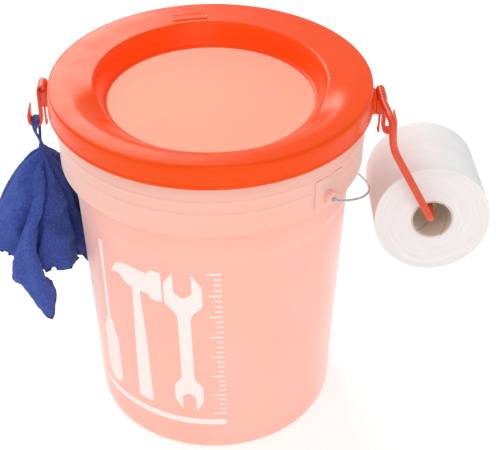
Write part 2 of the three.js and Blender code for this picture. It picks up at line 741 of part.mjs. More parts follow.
const rightClip = addPiece('right_clip', clipSolid(), clipPlastic);
rightClip.position.set(TUBE_AXIS_X, -CLIP_OFFSET, TUBE_AXIS_Z);
const leftClip = addPiece('left_clip', clipSolid(), clipPlastic);
leftClip.rotation.z = Math.PI;
leftClip.position.set(-TUBE_AXIS_X, CLIP_OFFSET, TUBE_AXIS_Z);

addPiece('arm_rod', armRod(), coatedSteel);
addPiece('arm_o_ring', washer(
  SPIGOT_RADIUS - GROOVE_DEPTH + GAP,
  TUBE_BORE - 0.1,
  -CLIP_OFFSET - O_RING_HALF,
  -CLIP_OFFSET + O_RING_HALF,
), rubber);
addPiece('arm_push_nut', washer(
  SPIGOT_RADIUS + GAP,
  TUBE_RADIUS - 0.5,
  armBack + GAP,
  armBack + SPIGOT_PAST_SOCKET - 1,
), zincWire);
addPiece('arm_tip_cap', tipCap(), rubber);
addPiece('roll_core', rollTube(CORE_BORE, CORE_RADIUS, 32), cardboard);
addPiece('paper_roll', rollTube(CORE_RADIUS + GAP, ROLL_RADIUS, 48), paper);

addPiece('cloth_loop', clothLoop(), ribbon);
addPiece('cloth', clothBody(), fabric);

export default organizer;
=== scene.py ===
"""The looks of the bucket organizer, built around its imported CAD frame.

Lengths in the tables and helpers are millimetres, in the frame of the part. MM turns them into metres.
"""

import math

import bmesh
import bpy
import numpy as np
from mathutils import Matrix, Vector, noise


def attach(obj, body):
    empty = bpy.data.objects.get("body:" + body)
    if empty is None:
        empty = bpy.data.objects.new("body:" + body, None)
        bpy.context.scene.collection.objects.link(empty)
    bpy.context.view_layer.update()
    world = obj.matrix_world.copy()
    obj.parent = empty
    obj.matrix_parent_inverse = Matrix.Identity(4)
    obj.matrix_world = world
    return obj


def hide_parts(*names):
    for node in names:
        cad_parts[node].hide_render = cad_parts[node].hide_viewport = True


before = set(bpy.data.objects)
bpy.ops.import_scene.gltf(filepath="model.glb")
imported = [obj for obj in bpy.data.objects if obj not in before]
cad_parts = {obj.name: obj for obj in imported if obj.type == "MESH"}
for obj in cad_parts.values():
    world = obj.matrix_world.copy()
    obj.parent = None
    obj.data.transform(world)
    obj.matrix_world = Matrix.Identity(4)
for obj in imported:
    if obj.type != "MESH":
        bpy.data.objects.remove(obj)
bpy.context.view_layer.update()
SCENE = bpy.context.scene
MM = 0.001


def linked(name, data):
    obj = bpy.data.objects.new(name, data)
    SCENE.collection.objects.link(obj)
    return obj


# ---- camera, floor and light

CAMERA_EYE = Vector((0.0, -0.98625, 0.94549))
CAMERA_TURN = math.radians(2.1)
CAMERA_FALL = math.radians(37.09)
CAMERA_ROLL = math.radians(0.21)
CAMERA_LENS = 85.48
WORLD_STRENGTH = 0.56
FLOOR_REACH = 6.0
FLOOR_GLOW = 0.3


def add_camera():
    forward = Vector((
        math.sin(CAMERA_TURN) * math.cos(CAMERA_FALL),
        math.cos(CAMERA_TURN) * math.cos(CAMERA_FALL),
        -math.sin(CAMERA_FALL),
    ))
    level = Vector((math.cos(CAMERA_TURN), -math.sin(CAMERA_TURN), 0))
    upright = level.cross(forward)
    right = math.cos(CAMERA_ROLL) * level + math.sin(CAMERA_ROLL) * upright
    up = math.cos(CAMERA_ROLL) * upright - math.sin(CAMERA_ROLL) * level
    turn = Matrix((right, up, -forward)).transposed().to_4x4()
    data = bpy.data.cameras.new("camera")
    data.lens = CAMERA_LENS
    SCENE.camera = linked("camera", data)
    SCENE.camera.matrix_world = Matrix.Translation(CAMERA_EYE) @ turn


def add_area_light(name, place, target, size, power):
    data = bpy.data.lights.new(name, "AREA")
    data.shape = "RECTANGLE"
    data.size, data.size_y = size
    data.energy = power
    aim = Vector(target) - Vector(place)
    turn = aim.to_track_quat("-Z", "Y").to_matrix().to_4x4()
    linked(name, data).matrix_world = Matrix.Translation(place) @ turn


def add_studio():
    world = bpy.data.worlds.new("studio")
    world.use_nodes = True
    background = world.node_tree.nodes["Background"].inputs
    background["Color"].default_value = (1, 1, 1, 1)
    background["Strength"].default_value = WORLD_STRENGTH
    SCENE.world = world
    SCENE.view_settings.view_transform = "Standard"
    add_area_light("key", (-1.1, 0.2, 1.9), (0, 0, 0.3), (1.0, 1.2), 5)
    add_area_light("softbox", (-1.2, 2.5, 1.95), (0, 0, 0.35), (2.3, 1.5), 54)
    add_area_light("overhead", (0.15, -1.25, 2.1), (0, 0, 0.3), (0.9, 0.9), 7)
    add_area_light("front", (0.5, -1.8, 1.0), (0, 0, 0.2), (1.4, 0.8), 6)
    mesh = bpy.data.meshes.new("floor")
    corners = [(FLOOR_REACH * x, FLOOR_REACH * y, 0) for x, y in ((-1, -1), (1, -1), (1, 1), (-1, 1))]
    mesh.from_pydata(corners, [], [(0, 1, 2, 3)])
    paint = Shader("floor_paint", 0.9, Base_Color=(0.9, 0.9, 0.9, 1),
                   Emission_Color=(1, 1, 1, 1), Emission_Strength=FLOOR_GLOW)
    mesh.materials.append(paint.material)
    linked("floor", mesh)


# ---- material helpers


def rgb(red, green, blue):
    """A colour given as 0 to 255 display values, as linear light."""
    def linear(value):
        share = value / 255
        return share / 12.92 if share <= 0.04045 else ((share + 0.055) / 1.055) ** 2.4
    return (linear(red), linear(green), linear(blue))


class Shader:
    """A material under construction: short names for the nodes that the materials below share."""

    def __init__(self, name, roughness, **sockets):
        self.material = bpy.data.materials.new(name)
        self.material.use_nodes = True
        self.tree = self.material.node_tree
        self.surface = self.tree.nodes["Principled BSDF"]
        self.surface.inputs["Roughness"].default_value = roughness
        for socket, value in sockets.items():
            self.surface.inputs[socket.replace("_", " ")].default_value = value
        coordinates = self.tree.nodes.new("ShaderNodeTexCoord")
        self.place = coordinates.outputs["Object"]
        self.flat = coordinates.outputs["UV"]

    def node(self, kind, links=(), **values):
        made = self.tree.nodes.new("ShaderNode" + kind)
        for key, value in values.items():
            setattr(made, key, value)
        for socket, source in dict(links).items():
            if isinstance(source, bpy.types.NodeSocket):
                self.tree.links.new(source, made.inputs[socket])
            else:
                made.inputs[socket].default_value = source
        return made

    def scaled(self, x, y, z, source=None):
        return self.node("Mapping", {"Vector": source or self.place, "Scale": (x, y, z)}).outputs[0]

    def noise(self, scale, detail=2.0, vector=None, distortion=0.0):
        links = {"Vector": vector or self.place, "Scale": scale, "Detail": detail,
                 "Distortion": distortion}
        return self.node("TexNoise", links).outputs["Fac"]

    def ramp(self, source, low, high, start=0.0, end=1.0):
        """source, eased so that low becomes start and high becomes end."""
        links = {"Value": source, "From Min": low, "From Max": high, "To Min": start, "To Max": end}
        return self.node("MapRange", links, interpolation_type="SMOOTHSTEP").outputs[0]

    def mix(self, share, first, second):
        links = {"Factor": share, 6: (*first, 1) if isinstance(first, tuple) else first,
                 7: (*second, 1) if isinstance(second, tuple) else second}
        return self.node("Mix", links, data_type="RGBA").outputs[2]

    def maths(self, operation, first, second):
        return self.node("Math", {0: first, 1: second}, operation=operation).outputs[0]

    def colour(self, source):
        self.tree.links.new(source, self.surface.inputs["Base Color"])

    def mottle(self, source, first, second, low=0.3, high=0.7):
        self.colour(self.mix(self.ramp(source, low, high), first, second))

    def roughness(self, source):
        self.tree.links.new(source, self.surface.inputs["Roughness"])

    def bump(self, height, distance, strength, before=None):
        links = {"Height": height, "Distance": distance, "Strength": strength}
        if before is not None:
            links["Normal"] = before
        normal = self.node("Bump", links).outputs[0]
        self.tree.links.new(normal, self.surface.inputs["Normal"])
        return normal


# ---- materials


def moulded_plastic(name, colour, deep, roughness, shine=0.5, shine_tint=(1.0, 1.0, 1.0, 1.0)):
    """Moulded plastic: a slow drift of colour, fine skin grain, and faint rubs that dull it."""
    shader = Shader(name, roughness, Specular_IOR_Level=shine, Specular_Tint=shine_tint)
    shader.mottle(shader.noise(9, 3), colour, deep)
    shader.roughness(shader.ramp(shader.noise(40, 4), 0.35, 0.75, roughness, roughness + 0.08))
    shader.bump(shader.noise(900, 2), 0.00002, 0.5)
    return shader.material


def bucket_plastic(name, light, deep, painted_sheen, **glow):
    """Pale translucent plastic, with a painted sheen: paler where it is seen edge on. The inside has a
    painted glow, an emission that stands in for the light which soaks through the wall."""
    shader = Shader(name, 0.42, Subsurface_Weight=0.3, Subsurface_Radius=(0.006, 0.004, 0.0035),
                    Subsurface_Scale=1.0, **glow)
    body = shader.mix(shader.ramp(shader.noise(6, 3), 0.3, 0.7), deep, light)
    # Painted sheen: the colour turns towards a paler one where the surface is seen edge on.
    edge = shader.node("LayerWeight", {"Blend": 0.35}).outputs["Facing"]
    shader.colour(shader.mix(shader.ramp(edge, 0.45, 1.0), body, painted_sheen))
    rings = shader.noise(260, 2, shader.scaled(0.03, 0.03, 1))
    scuffs = shader.noise(40, 8, shader.scaled(1, 1, 0.4), 1.2)
    shader.roughness(shader.ramp(scuffs, 0.4, 0.8, 0.36, 0.56))
    skin = shader.bump(rings, 0.00008, 0.35)
    shader.bump(shader.noise(500, 3), 0.00003, 0.5, skin)
    return shader.material


def print_ink(name, colour):
    """Screen-printed ink, thin enough that a little of the plastic shows through it."""
    shader = Shader(name, 0.55)
    thin = shader.ramp(shader.noise(700, 3), 0.45, 0.9, 0.0, 0.5)
    shader.colour(shader.mix(thin, colour, rgb(254, 214, 202)))
    shader.bump(shader.noise(1400, 2), 0.00001, 0.5)
    return shader.material


def coated_steel():
    """Powder-coated rod: orange peel, and duller patches where it is handled."""
    shader = Shader("arm_coating", 0.3, Coat_Weight=0.25, Coat_Roughness=0.2)
    shader.mottle(shader.noise(60, 3), rgb(232, 74, 14), rgb(220, 64, 10))
    shader.roughness(shader.ramp(shader.noise(240, 6), 0.4, 0.8, 0.26, 0.5))
    shader.bump(shader.noise(1100, 2), 0.00005, 0.5)
    return shader.material


def zinc_wire():
    """Drawn wire: fine lines, dull zinc spangle."""
    shader = Shader("zinc_wire", 0.36, Metallic=0.85)
    spangle = shader.noise(420, 4)
    shader.mottle(spangle, rgb(206, 206, 204), rgb(176, 177, 178), 0.35)
    shader.roughness(shader.ramp(spangle, 0.3, 0.7, 0.28, 0.5))
    shader.bump(shader.noise(1600, 3), 0.00003, 0.5)
    return shader.material


def tissue():
    """Creped tissue. The map runs round the roll and along it, in metres."""
    shader = Shader("tissue", 0.95, Sheen_Weight=0.15, Sheen_Roughness=0.6)
    shader.mottle(shader.noise(18, 4), rgb(244, 243, 243), rgb(236, 234, 234))
    crepe = shader.noise(1500, 3, shader.scaled(1.0, 0.12, 1.0, shader.flat))
    under = shader.bump(crepe, 0.00012, 0.55)
    shader.bump(shader.noise(900, 6), 0.00008, 0.4, under)
    return shader.material


def tissue_edge():
    """The cut end of the roll, its turns' edges as fine rings. The map's first value is the radius."""
    shader = Shader("tissue_edge", 0.98)
    rings = shader.scaled(1.0, 0.02, 1.0, shader.flat)
    turns = shader.noise(1300, 3, rings)
    bands = shader.ramp(shader.noise(120, 4, rings), 0.25, 0.75, 0.4, 1.0)
    tone = shader.maths("MULTIPLY", shader.ramp(turns, 0.3, 0.7), bands)
    shader.colour(shader.mix(tone, rgb(236, 231, 229), rgb(248, 245, 244)))
    under = shader.bump(turns, 0.0003, 0.6)
    shader.bump(shader.noise(700, 5), 0.0001, 0.4, under)
    return shader.material


def core_board():
    """Wound grey-brown board with its spiral seam."""
    shader = Shader("core_board", 0.9)
    fibres = shader.noise(700, 6)
    base = shader.mix(shader.ramp(fibres, 0.3, 0.7), rgb(238, 226, 212), rgb(226, 212, 196))
    wave = shader.node("TexWave", {"Vector": shader.flat, "Scale": 14.0, "Distortion": 0.2},
                       wave_type="BANDS", bands_direction="DIAGONAL").outputs["Fac"]
    seam = shader.ramp(wave, 0.97, 1.0)
    shader.colour(shader.mix(seam, base, rgb(206, 190, 172)))
    under = shader.bump(seam, -0.0002, 0.6)
    shader.bump(fibres, 0.0001, 0.5, under)
    return shader.material


def microfibre(name, light, tuft_gap_shade, pitch):
    """Looped microfibre: rows of small tufts, with painted shade in the gaps between them, so each is a
    little lighter at its tip.
    """
    shader = Shader(name, 0.95, Sheen_Weight=0.35, Sheen_Roughness=0.45,
                    Sheen_Tint=(*rgb(120, 150, 235), 1))
    tufts = shader.node("TexVoronoi", {"Vector": shader.flat, "Scale": 1 / pitch, "Randomness": 0.75},
                        feature="SMOOTH_F1").outputs["Distance"]
    # Painted shade: this mask is low in the gaps between tufts, which take the darker colour.
    tuft = shader.ramp(tufts, 0.1, 0.75, 1.0, 0.0)
    fuzz = shader.noise(1100, 5, shader.flat)
    worn = shader.noise(26, 3, shader.flat)
    tone = shader.maths("MULTIPLY", tuft, shader.ramp(fuzz, 0.25, 0.75, 0.55, 1.15))
    body = shader.mix(shader.ramp(worn, 0.3, 0.7), light, tuple(0.86 * c for c in light))
    shader.colour(shader.mix(tone, tuft_gap_shade, body))
    under = shader.bump(tuft, 0.0011, 0.9)
    shader.bump(fuzz, 0.0006, 0.7, under)
    return shader.material


def ribbon():
    """Woven ribbon: fine cross ribs."""
    shader = Shader("loop_ribbon", 0.85, Sheen_Weight=0.2)
    ribs = shader.noise(900, 3, shader.scaled(0.4, 0.4, 1.6))
    shader.mottle(ribs, rgb(36, 52, 118), rgb(58, 80, 160))
    shader.bump(ribs, 0.0003, 0.8)
    return shader.material


def rubber():
    """Dull black rubber."""
    shader = Shader("rubber", 0.7)
    shader.colour(shader.mix(shader.noise(300, 4), (0.02, 0.02, 0.02), (0.05, 0.05, 0.05)))
    shader.bump(shader.noise(1500, 2), 0.00004, 0.5)
    return shader.material


# The last colour of each is the painted sheen at grazing view.
BUCKET = bucket_plastic("bucket_plastic", rgb(255, 194, 177), rgb(254, 186, 169), rgb(255, 228, 222))
# Painted glow: the inside emits light, standing in for the light that soaks through the wall.
BUCKET_INSIDE_PAINTED_GLOW = bucket_plastic("bucket_inside_painted_glow", rgb(255, 192, 176), rgb(254, 184, 166),
                               rgb(255, 190, 174), Emission_Color=(0.40, 0.20, 0.16, 1),
                               Emission_Strength=1.0)
RING = moulded_plastic("ring_plastic", rgb(250, 79, 12), rgb(248, 74, 8), 0.25,
                       shine=0.33, shine_tint=(1.0, 0.6, 0.4, 1.0))
CLIP = moulded_plastic("clip_plastic", rgb(236, 68, 12), rgb(226, 60, 8), 0.34)
GRIP = moulded_plastic("grip_plastic", rgb(240, 238, 232), rgb(228, 226, 219), 0.5)
ARM = coated_steel()
WIRE = zinc_wire()
TISSUE = tissue()
TISSUE_EDGE = tissue_edge()
CORE = core_board()
# The darker colour of each is the painted shade between the tufts.
CLOTH = microfibre("microfibre", rgb(78, 105, 200), rgb(48, 68, 146), 0.0015)
HEM = microfibre("hem_thread", rgb(46, 66, 148), rgb(26, 40, 100), 0.0011)
RIBBON = ribbon()
RUBBER = rubber()
INK = print_ink("print_ink", rgb(255, 240, 236))


# ---- mesh helpers


def piece(name, verts, faces, body, slot, materials, replaced=(), smooth=True):
    """A new visible piece from points in millimetres. It rides on a body."""
    mesh = bpy.data.meshes.new(name)
    mesh.from_pydata([tuple(float(c) * MM for c in v) for v in verts], [], faces)
    mesh.validate()
    obj = linked(name, mesh)
    for material in materials:
        mesh.materials.append(material)
    mesh.polygons.foreach_set("use_smooth", [smooth] * len(mesh.polygons))
    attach(obj, body)
    if replaced:
        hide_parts(*replaced)
    return obj


def keep_sharp(obj, degrees=35):
    """Marks the edges that stay crisp under smooth shading."""
    edit = bmesh.new()
    edit.from_mesh(obj.data)
    bmesh.ops.recalc_face_normals(edit, faces=edit.faces)
    for edge in edit.edges:
        edge.smooth = edge.calc_face_angle(0) < math.radians(degrees)
    edit.to_mesh(obj.data)
    edit.free()


def rounded(corners, closed=True, steps=4):
    """An outline of (radius, height, fillet) corners, with each corner rounded by its fillet."""
    count = len(corners)
    outline = []
    for i, (r, z, fillet) in enumerate(corners):
        here = np.array((r, z), float)
        if not closed and i in (0, count - 1) or fillet == 0:
            outline.append(tuple(here))
            continue
        before = np.array(corners[i - 1][:2], float) - here
        after = np.array(corners[(i + 1) % count][:2], float) - here
        first = min(fillet, 0.48 * np.linalg.norm(before))
        last = min(fillet, 0.48 * np.linalg.norm(after))
        start = here + before / np.linalg.norm(before) * first
        end = here + after / np.linalg.norm(after) * last
        for k in range(steps + 1):
            t = k / steps
            outline.append(tuple((1 - t) ** 2 * start + 2 * t * (1 - t) * here + t ** 2 * end))
    return outline


def skin(count, sides, closed=False):
    """Faces between rings of points that follow one another."""
    faces = []
    for i in range(count if closed else count - 1):
        here, there = i * sides, (i + 1) % count * sides
        for k in range(sides):
            n = (k + 1) % sides
            faces.append((here + k, here + n, there + n, there + k))
    return faces


def end_caps(count, sides):
    """A flat face on the first ring of points and one on the last."""
    return [tuple(reversed(range(sides))), tuple((count - 1) * sides + k for k in range(sides))]


def lathe(outline, steps, closed=True):
    """Turns a radius-and-height outline about Z. An open outline starts and ends on the axis."""
    rings = outline if closed else outline[1:-1]
    verts = [(r * math.cos(turn), r * math.sin(turn), z)
             for r, z in rings
             for turn in (2 * math.pi * k / steps for k in range(steps))]
    faces = skin(len(rings), steps, closed)
    if not closed:
        first, last = len(verts), len(verts) + 1
        verts += [(0, 0, outline[0][1]), (0, 0, outline[-1][1])]
        top = (len(rings) - 1) * steps
        faces += [(first, (k + 1) % steps, k) for k in range(steps)]
        faces += [(last, top + k, top + (k + 1) % steps) for k in range(steps)]
    return verts, faces


def moved(verts, matrix):
    return [tuple(matrix @ Vector(v)) for v in verts]


def merged(*parts):
    """Several (verts, faces) as one."""
    verts, faces = [], []
    for more_verts, more_faces in parts:
        offset = len(verts)
        verts += list(more_verts)
        faces += [tuple(i + offset for i in face) for face in more_faces]
    return verts, faces


def bent_path(corners, pitch):
    """A path through (point, bend) corners, with each bend a smooth curve, cut about every pitch."""
    points = [Vector(corners[0][0])]

    def straight(to):
        span = (to - points[-1]).length
        start = points[-1].copy()
        count = max(1, round(span / pitch))
        points.extend(start.lerp(to, k / count) for k in range(1, count + 1))

    for i in range(1, len(corners) - 1):
        at, bend = Vector(corners[i][0]), corners[i][1]
        before = (Vector(corners[i - 1][0]) - at).normalized()
        after = (Vector(corners[i + 1][0]) - at).normalized()
        entry, leave = at + before * bend, at + after * bend
        straight(entry)
        count = max(4, round(1.6 * bend / pitch))
        for k in range(1, count + 1):
            t = k / count
            points.append((1 - t) ** 2 * entry + 2 * t * (1 - t) * at + t ** 2 * leave)
    straight(Vector(corners[-1][0]))
    return points


def sweep(points, radius, sides, closed=False):
    """A round tube along points, its ends slightly domed. radius is a number or one for each point."""
    points = [Vector(p) for p in points]
    count = len(points)
    radii = [radius] * count if isinstance(radius, (int, float)) else list(radius)
    if not closed:
        first = (points[0] - points[1]).normalized()
        last = (points[-1] - points[-2]).normalized()
        dome = 0.35
        points = [points[0] + first * radii[0] * dome, *points, points[-1] + last * radii[-1] * dome]
        radii = [radii[0] * 0.6, *radii, radii[-1] * 0.6]
        count += 2
    tangents = []
    for i in range(count):
        ahead = points[(i + 1) % count] if closed or i < count - 1 else points[i]
        behind = points[i - 1] if closed or i > 0 else points[i]
        tangents.append((ahead - behind).normalized())
    side = tangents[0].orthogonal().normalized()
    verts = []
    for i, point in enumerate(points):
        side = (side - tangents[i] * side.dot(tangents[i])).normalized()
        other = tangents[i].cross(side)
        for k in range(sides):
            turn = 2 * math.pi * k / sides
            verts.append(tuple(point + radii[i] * (math.cos(turn) * side + math.sin(turn) * other)))
    return verts, skin(count, sides, closed) + ([] if closed else end_caps(count, sides))


def grid_faces(columns, rows):
    width = columns + 1
    return [(j * width + i, j * width + i + 1, (j + 1) * width + i + 1, (j + 1) * width + i)
            for j in range(rows) for i in range(columns)]


def grid_border(columns, rows):
    """The points round a grid, in order."""
    width = columns + 1
    border = [*range(width), *(j * width + columns for j in range(1, rows + 1))]
    border += [rows * width + i for i in range(columns - 1, -1, -1)]
    return border + [j * width for j in range(rows - 1, 0, -1)]


def facing(place, along):
    """A turn and shift that brings Z onto along, at place."""
    return Matrix.Translation(place) @ along.to_track_quat("Z", "Y").to_matrix().to_4x4()


def box_solid(low, high, bevel):
    """A box with bevelled edges."""
    edit = bmesh.new()
    bmesh.ops.create_cube(edit, size=1)
    size = [b - a for a, b in zip(low, high)]
    for vert in edit.verts:
        vert.co = Vector([a + (c + 0.5) * s for a, c, s in zip(low, vert.co, size)])
    bmesh.ops.bevel(edit, geom=edit.edges[:], offset=bevel, segments=2, affect="EDGES", profile=0.5)
    verts = [tuple(v.co) for v in edit.verts]
    faces = [tuple(v.index for v in f.verts) for f in edit.faces]
    edit.free()
    return verts, faces


def apply_modifiers(obj):
    graph = bpy.context.evaluated_depsgraph_get()
    mesh = bpy.data.meshes.new_from_object(obj.evaluated_get(graph))
    old = obj.data
    obj.modifiers.clear()
    obj.data = mesh
    bpy.data.meshes.remove(old)


# ---- bucket

BASE_RADIUS = 127.7
COLLAR_RADIUS = 150.0
COLLAR_BOTTOM = 299.0
COLLAR_TOP = 352.0
COLLAR_WALL = 2.2
WALL_RADIUS_AT_COLLAR = 139.2
WALL = 2.4
BUCKET_HEIGHT = 368.0
RIM_RADIUS = 147.5
NECK_RADIUS = 145.5
RIB_HEIGHTS = (323.5, 337.0)
STEP_HEIGHT = 262.0
STEP_DEPTH = 0.9
STEP_SOFTNESS = 1.1
STEP_FADE = 60.0
FLOOR_TOP = 4.2
FLOOR_RINGS = (28.0, 62.0, 96.0)
WALL_TOP = 346.0
ROUND_STEPS = 256


def wall_radius(height):
    """The outside of the wall. It steps in a little above the middle, so that buckets don't jam."""
    slope = (WALL_RADIUS_AT_COLLAR - BASE_RADIUS) / COLLAR_BOTTOM
    cone = BASE_RADIUS + slope * height
    below = 1 - 1 / (1 + math.exp(-(height - STEP_HEIGHT) / STEP_SOFTNESS))
    return cone - STEP_DEPTH * below * min(1.0, height / STEP_FADE)


def bucket_outline():
    heights = [*np.linspace(10, 250, 25), *np.linspace(253, 272, 16), *np.linspace(278, WALL_TOP, 8)]
    low = [(0, 2.2, 0), (112, 2.2, 3), (114.5, 0.0, 1.4), (wall_radius(0) - 1.0, 0.0, 3.2)]
    outline = rounded([*low, (wall_radius(9), 9, 0)], closed=False)[:-1]
    outline += [(wall_radius(z), z) for z in heights]
    collar = [
        (wall_radius(WALL_TOP), WALL_TOP + 3, 2),
        (COLLAR_RADIUS - COLLAR_WALL, WALL_TOP + 3, 2),
        (COLLAR_RADIUS - COLLAR_WALL, COLLAR_BOTTOM, 0.8),
        (COLLAR_RADIUS, COLLAR_BOTTOM, 0.9),
    ]
    for rib in RIB_HEIGHTS:
        collar += [(COLLAR_RADIUS, rib - 2.0, 1), (COLLAR_RADIUS + 0.8, rib, 1.2),
                   (COLLAR_RADIUS, rib + 2.0, 1)]
    collar += [
        (COLLAR_RADIUS, COLLAR_TOP, 1.2),
        (NECK_RADIUS, COLLAR_TOP + 1, 1.2),
        (NECK_RADIUS, 361.5, 1.0),
        (RIM_RADIUS, 362.5, 1.6),
        (RIM_RADIUS, BUCKET_HEIGHT, 2.2),
        (wall_radius(BUCKET_HEIGHT) - WALL, BUCKET_HEIGHT, 1.6),
        (wall_radius(WALL_TOP) - WALL, WALL_TOP, 0),
    ]
    outline += rounded([(wall_radius(WALL_TOP), WALL_TOP, 0), *collar], closed=False)[1:]
    outline += [(wall_radius(z) - WALL, z) for z in reversed(heights) if z > 12]
    outline += rounded([(wall_radius(10) - WALL, 12, 0), (wall_radius(0) - WALL - 1, FLOOR_TOP, 6),
                        (0, FLOOR_TOP, 0)], closed=False)
    return outline


EAR_ANGLE = math.radians(-45)
EAR_HEIGHT = 311.0
EAR_PLATE = ((147.2, -18, 305), (150.7, 18, 335))
BOSS_RADIUS, BOSS_BORE, BOSS_LENGTH = 6.9, 1.8, 6.6


def ear(turn):
    """The low plate and the boss for one end of the bail."""
    outline = rounded([
        (BOSS_BORE, 0, 0.3),
        (BOSS_RADIUS, 0, 0),
        (BOSS_RADIUS, BOSS_LENGTH - 0.4, 0.8),
        (BOSS_RADIUS - 1.3, BOSS_LENGTH, 0.3),
        (BOSS_BORE, BOSS_LENGTH, 0.4),
    ])
    verts, faces = lathe(outline, 40)
    upright = Matrix.Rotation(math.pi / 2, 4, "Y")
    boss = moved(verts, Matrix.Translation((COLLAR_RADIUS - 0.1, 0, EAR_HEIGHT)) @ upright)
    verts, faces = merged(box_solid(*EAR_PLATE, 0.6), (boss, faces))
    return moved(verts, Matrix.Rotation(turn, 4, "Z")), faces


def base_rings():
    """Raised rings on the bucket's floor, as the mould leaves them."""
    foot = FLOOR_TOP - 0.2
    parts = []
    for radius in FLOOR_RINGS:
        outline = [(radius - 1.6, foot, 0), (radius + 1.6, foot, 0), (radius + 0.8, foot + 1, 0.6),
                   (radius - 0.8, foot + 1, 0.6)]
        parts.append(lathe(rounded(outline), 128))
    gate = [(0, foot, 0), (5, foot, 0), (4.4, foot + 0.9, 0.5), (0, foot + 0.9, 0)]
    return [*parts, lathe(rounded(gate, closed=False), 32, closed=False)]


def add_bucket():
    shell = lathe(bucket_outline(), ROUND_STEPS, closed=False)
    verts, faces = merged(shell, ear(EAR_ANGLE), ear(EAR_ANGLE + math.pi), *base_rings())
    obj = piece("bucket_body", verts, faces, "bucket", "bucket_plastic", [BUCKET, BUCKET_INSIDE_PAINTED_GLOW],
                ["bucket_shell"])
    keep_sharp(obj)
    # Faces inside the wall take the inside material, with its painted glow.
    for polygon in obj.data.polygons:
        x, y, z = polygon.center / MM
        polygon.material_index = z > 3 and math.hypot(x, y) < wall_radius(z) - WALL / 2


# ---- print on the bucket

PRINT_TURN = math.radians(-121)
PRINT_LOW, PRINT_HIGH = 52.0, 246.0
PRINT_LEFT, PRINT_RIGHT = -74.0, 80.0


def on_wall(along, height, proud):
    """A place on the bucket's wall: along it from the middle of the print, up, and off the surface."""
    radius = wall_radius(height)
    turn = PRINT_TURN + along / radius
    return ((radius + proud) * math.cos(turn), (radius + proud) * math.sin(turn), height)


def rounded_box_outline(left, low, right, high, radius, steps=6):
    corners = ((right, high, 0), (left, high, 90), (left, low, 180), (right, low, 270))
    outline = []
    for x, y, start in corners:
        centre = (x - math.copysign(radius, x - (left + right) / 2),
                  y - math.copysign(radius, y - (low + high) / 2))
        for k in range(steps + 1):
            turn = math.radians(start + 90 * k / steps)
            outline.append((centre[0] + radius * math.cos(turn), centre[1] + radius * math.sin(turn)))
    return outline


def decal(name, outlines):
    """Flat outlines laid on the wall as a very thin printed film."""
    inner, outer, pitch = 0.02, 0.22, 2.5
    edit = bmesh.new()
    for outline in outlines:
        edit.faces.new([edit.verts.new((x, y, 0)) for x, y in outline])
    edit.normal_update()
    bmesh.ops.triangulate(edit, faces=edit.faces[:])
    lowest = min(v.co.x for v in edit.verts)
    highest = max(v.co.x for v in edit.verts)
    for cut in np.arange(lowest + pitch, highest, pitch):
        bmesh.ops.bisect_plane(edit, geom=edit.verts[:] + edit.edges[:] + edit.faces[:],
                               plane_co=(cut, 0, 0), plane_no=(1, 0, 0))
    bmesh.ops.triangulate(edit, faces=edit.faces[:])
    edit.verts.index_update()
    flat = [(v.co.x, v.co.y) for v in edit.verts]
    faces = [tuple(v.index for v in f.verts) for f in edit.faces]
    edit.free()
    faces = [face if turns_left(*(flat[i] for i in face)) else face[::-1] for face in faces]
    edges = {(face[k - 1], face[k]) for face in faces for k in range(3)}
    count = len(flat)
    verts = [on_wall(x, y, proud) for proud in (outer, inner) for x, y in flat]
    solid = faces + [tuple(i + count for i in face[::-1]) for face in faces]
    solid += [(b, a, a + count, b + count) for a, b in edges if (b, a) not in edges]
    keep_sharp(piece(name, verts, solid, "bucket", "bucket_plastic", [INK], smooth=False), 60)


def turns_left(a, b, c):
    return (b[0] - a[0]) * (c[1] - a[1]) > (b[1] - a[1]) * (c[0] - a[0])


def mirrored(half):
    """A closed outline from one half of it. Points on the middle line are used once."""
    return (*half, *((-x, y, fillet) for x, y, fillet in reversed(half) if x))


# Outlines of (across, up, fillet) corners, on a height of 196.
TOOL_HEIGHT = 196
SCREWDRIVER = mirrored((
    (0, 196, 0), (-3.4, 194, 0.5), (-2.6, 180, 0.5), (-2.6, 92, 0.5), (-7, 88, 2), (-7, 80, 1.5),
    (-12.5, 72, 4), (-12.5, 8, 8), (-6, 0, 4),
))
HAMMER = (
    (-4.5, 158, 1), (-7.5, 80, 2), (-9, 3, 3), (9, 3, 3), (7.5, 80, 2), (4.5, 158, 1), (15, 158, 2),
    (17, 152, 1), (29, 152, 2.5), (29, 190, 2.5), (17, 190, 1), (15, 184, 2), (-8, 186, 4),
    (-24, 182, 6), (-33, 164, 1), (-22, 170, 5), (-12, 160, 3),
)
WRENCH = mirrored((
    (0, 161, 4), (9, 168, 3), (9, 193, 2), (19, 178, 5), (19, 152, 5), (6.5, 140, 8), (6.5, 50, 6),
    (15, 40, 5), (15, 18, 5), (7, 4, 2), (7, 24, 2), (0, 29, 3),
))
TOOL_PLACES = ((-55, SCREWDRIVER), (-8, HAMMER), (42, WRENCH))
SCALE_MARKS = 28
MARKS_TO_LONG = 4


def add_print():
    """Three plain tool shapes over a bar, with a filling scale at their side, and no lettering."""
    tall = PRINT_HIGH - PRINT_LOW
    tools = [[(middle + x, PRINT_LOW + tall * y / TOOL_HEIGHT) for x, y in rounded(outline)]
             for middle, outline in TOOL_PLACES]
    bars = [rounded_box_outline(PRINT_LEFT, PRINT_LOW - 16, PRINT_RIGHT, PRINT_LOW - 8, 3)]
    thick = 2.0
    for mark in range(SCALE_MARKS + 1):
        low = PRINT_LOW + mark * (tall - thick) / SCALE_MARKS
        start = PRINT_RIGHT - (7 if mark % MARKS_TO_LONG else 13)
        bars.append(rounded_box_outline(start, low, PRINT_RIGHT, low + thick, 0.8, 3))
    decal("print_tools", tools)
    decal("print_scale", bars)


# ---- seat ring

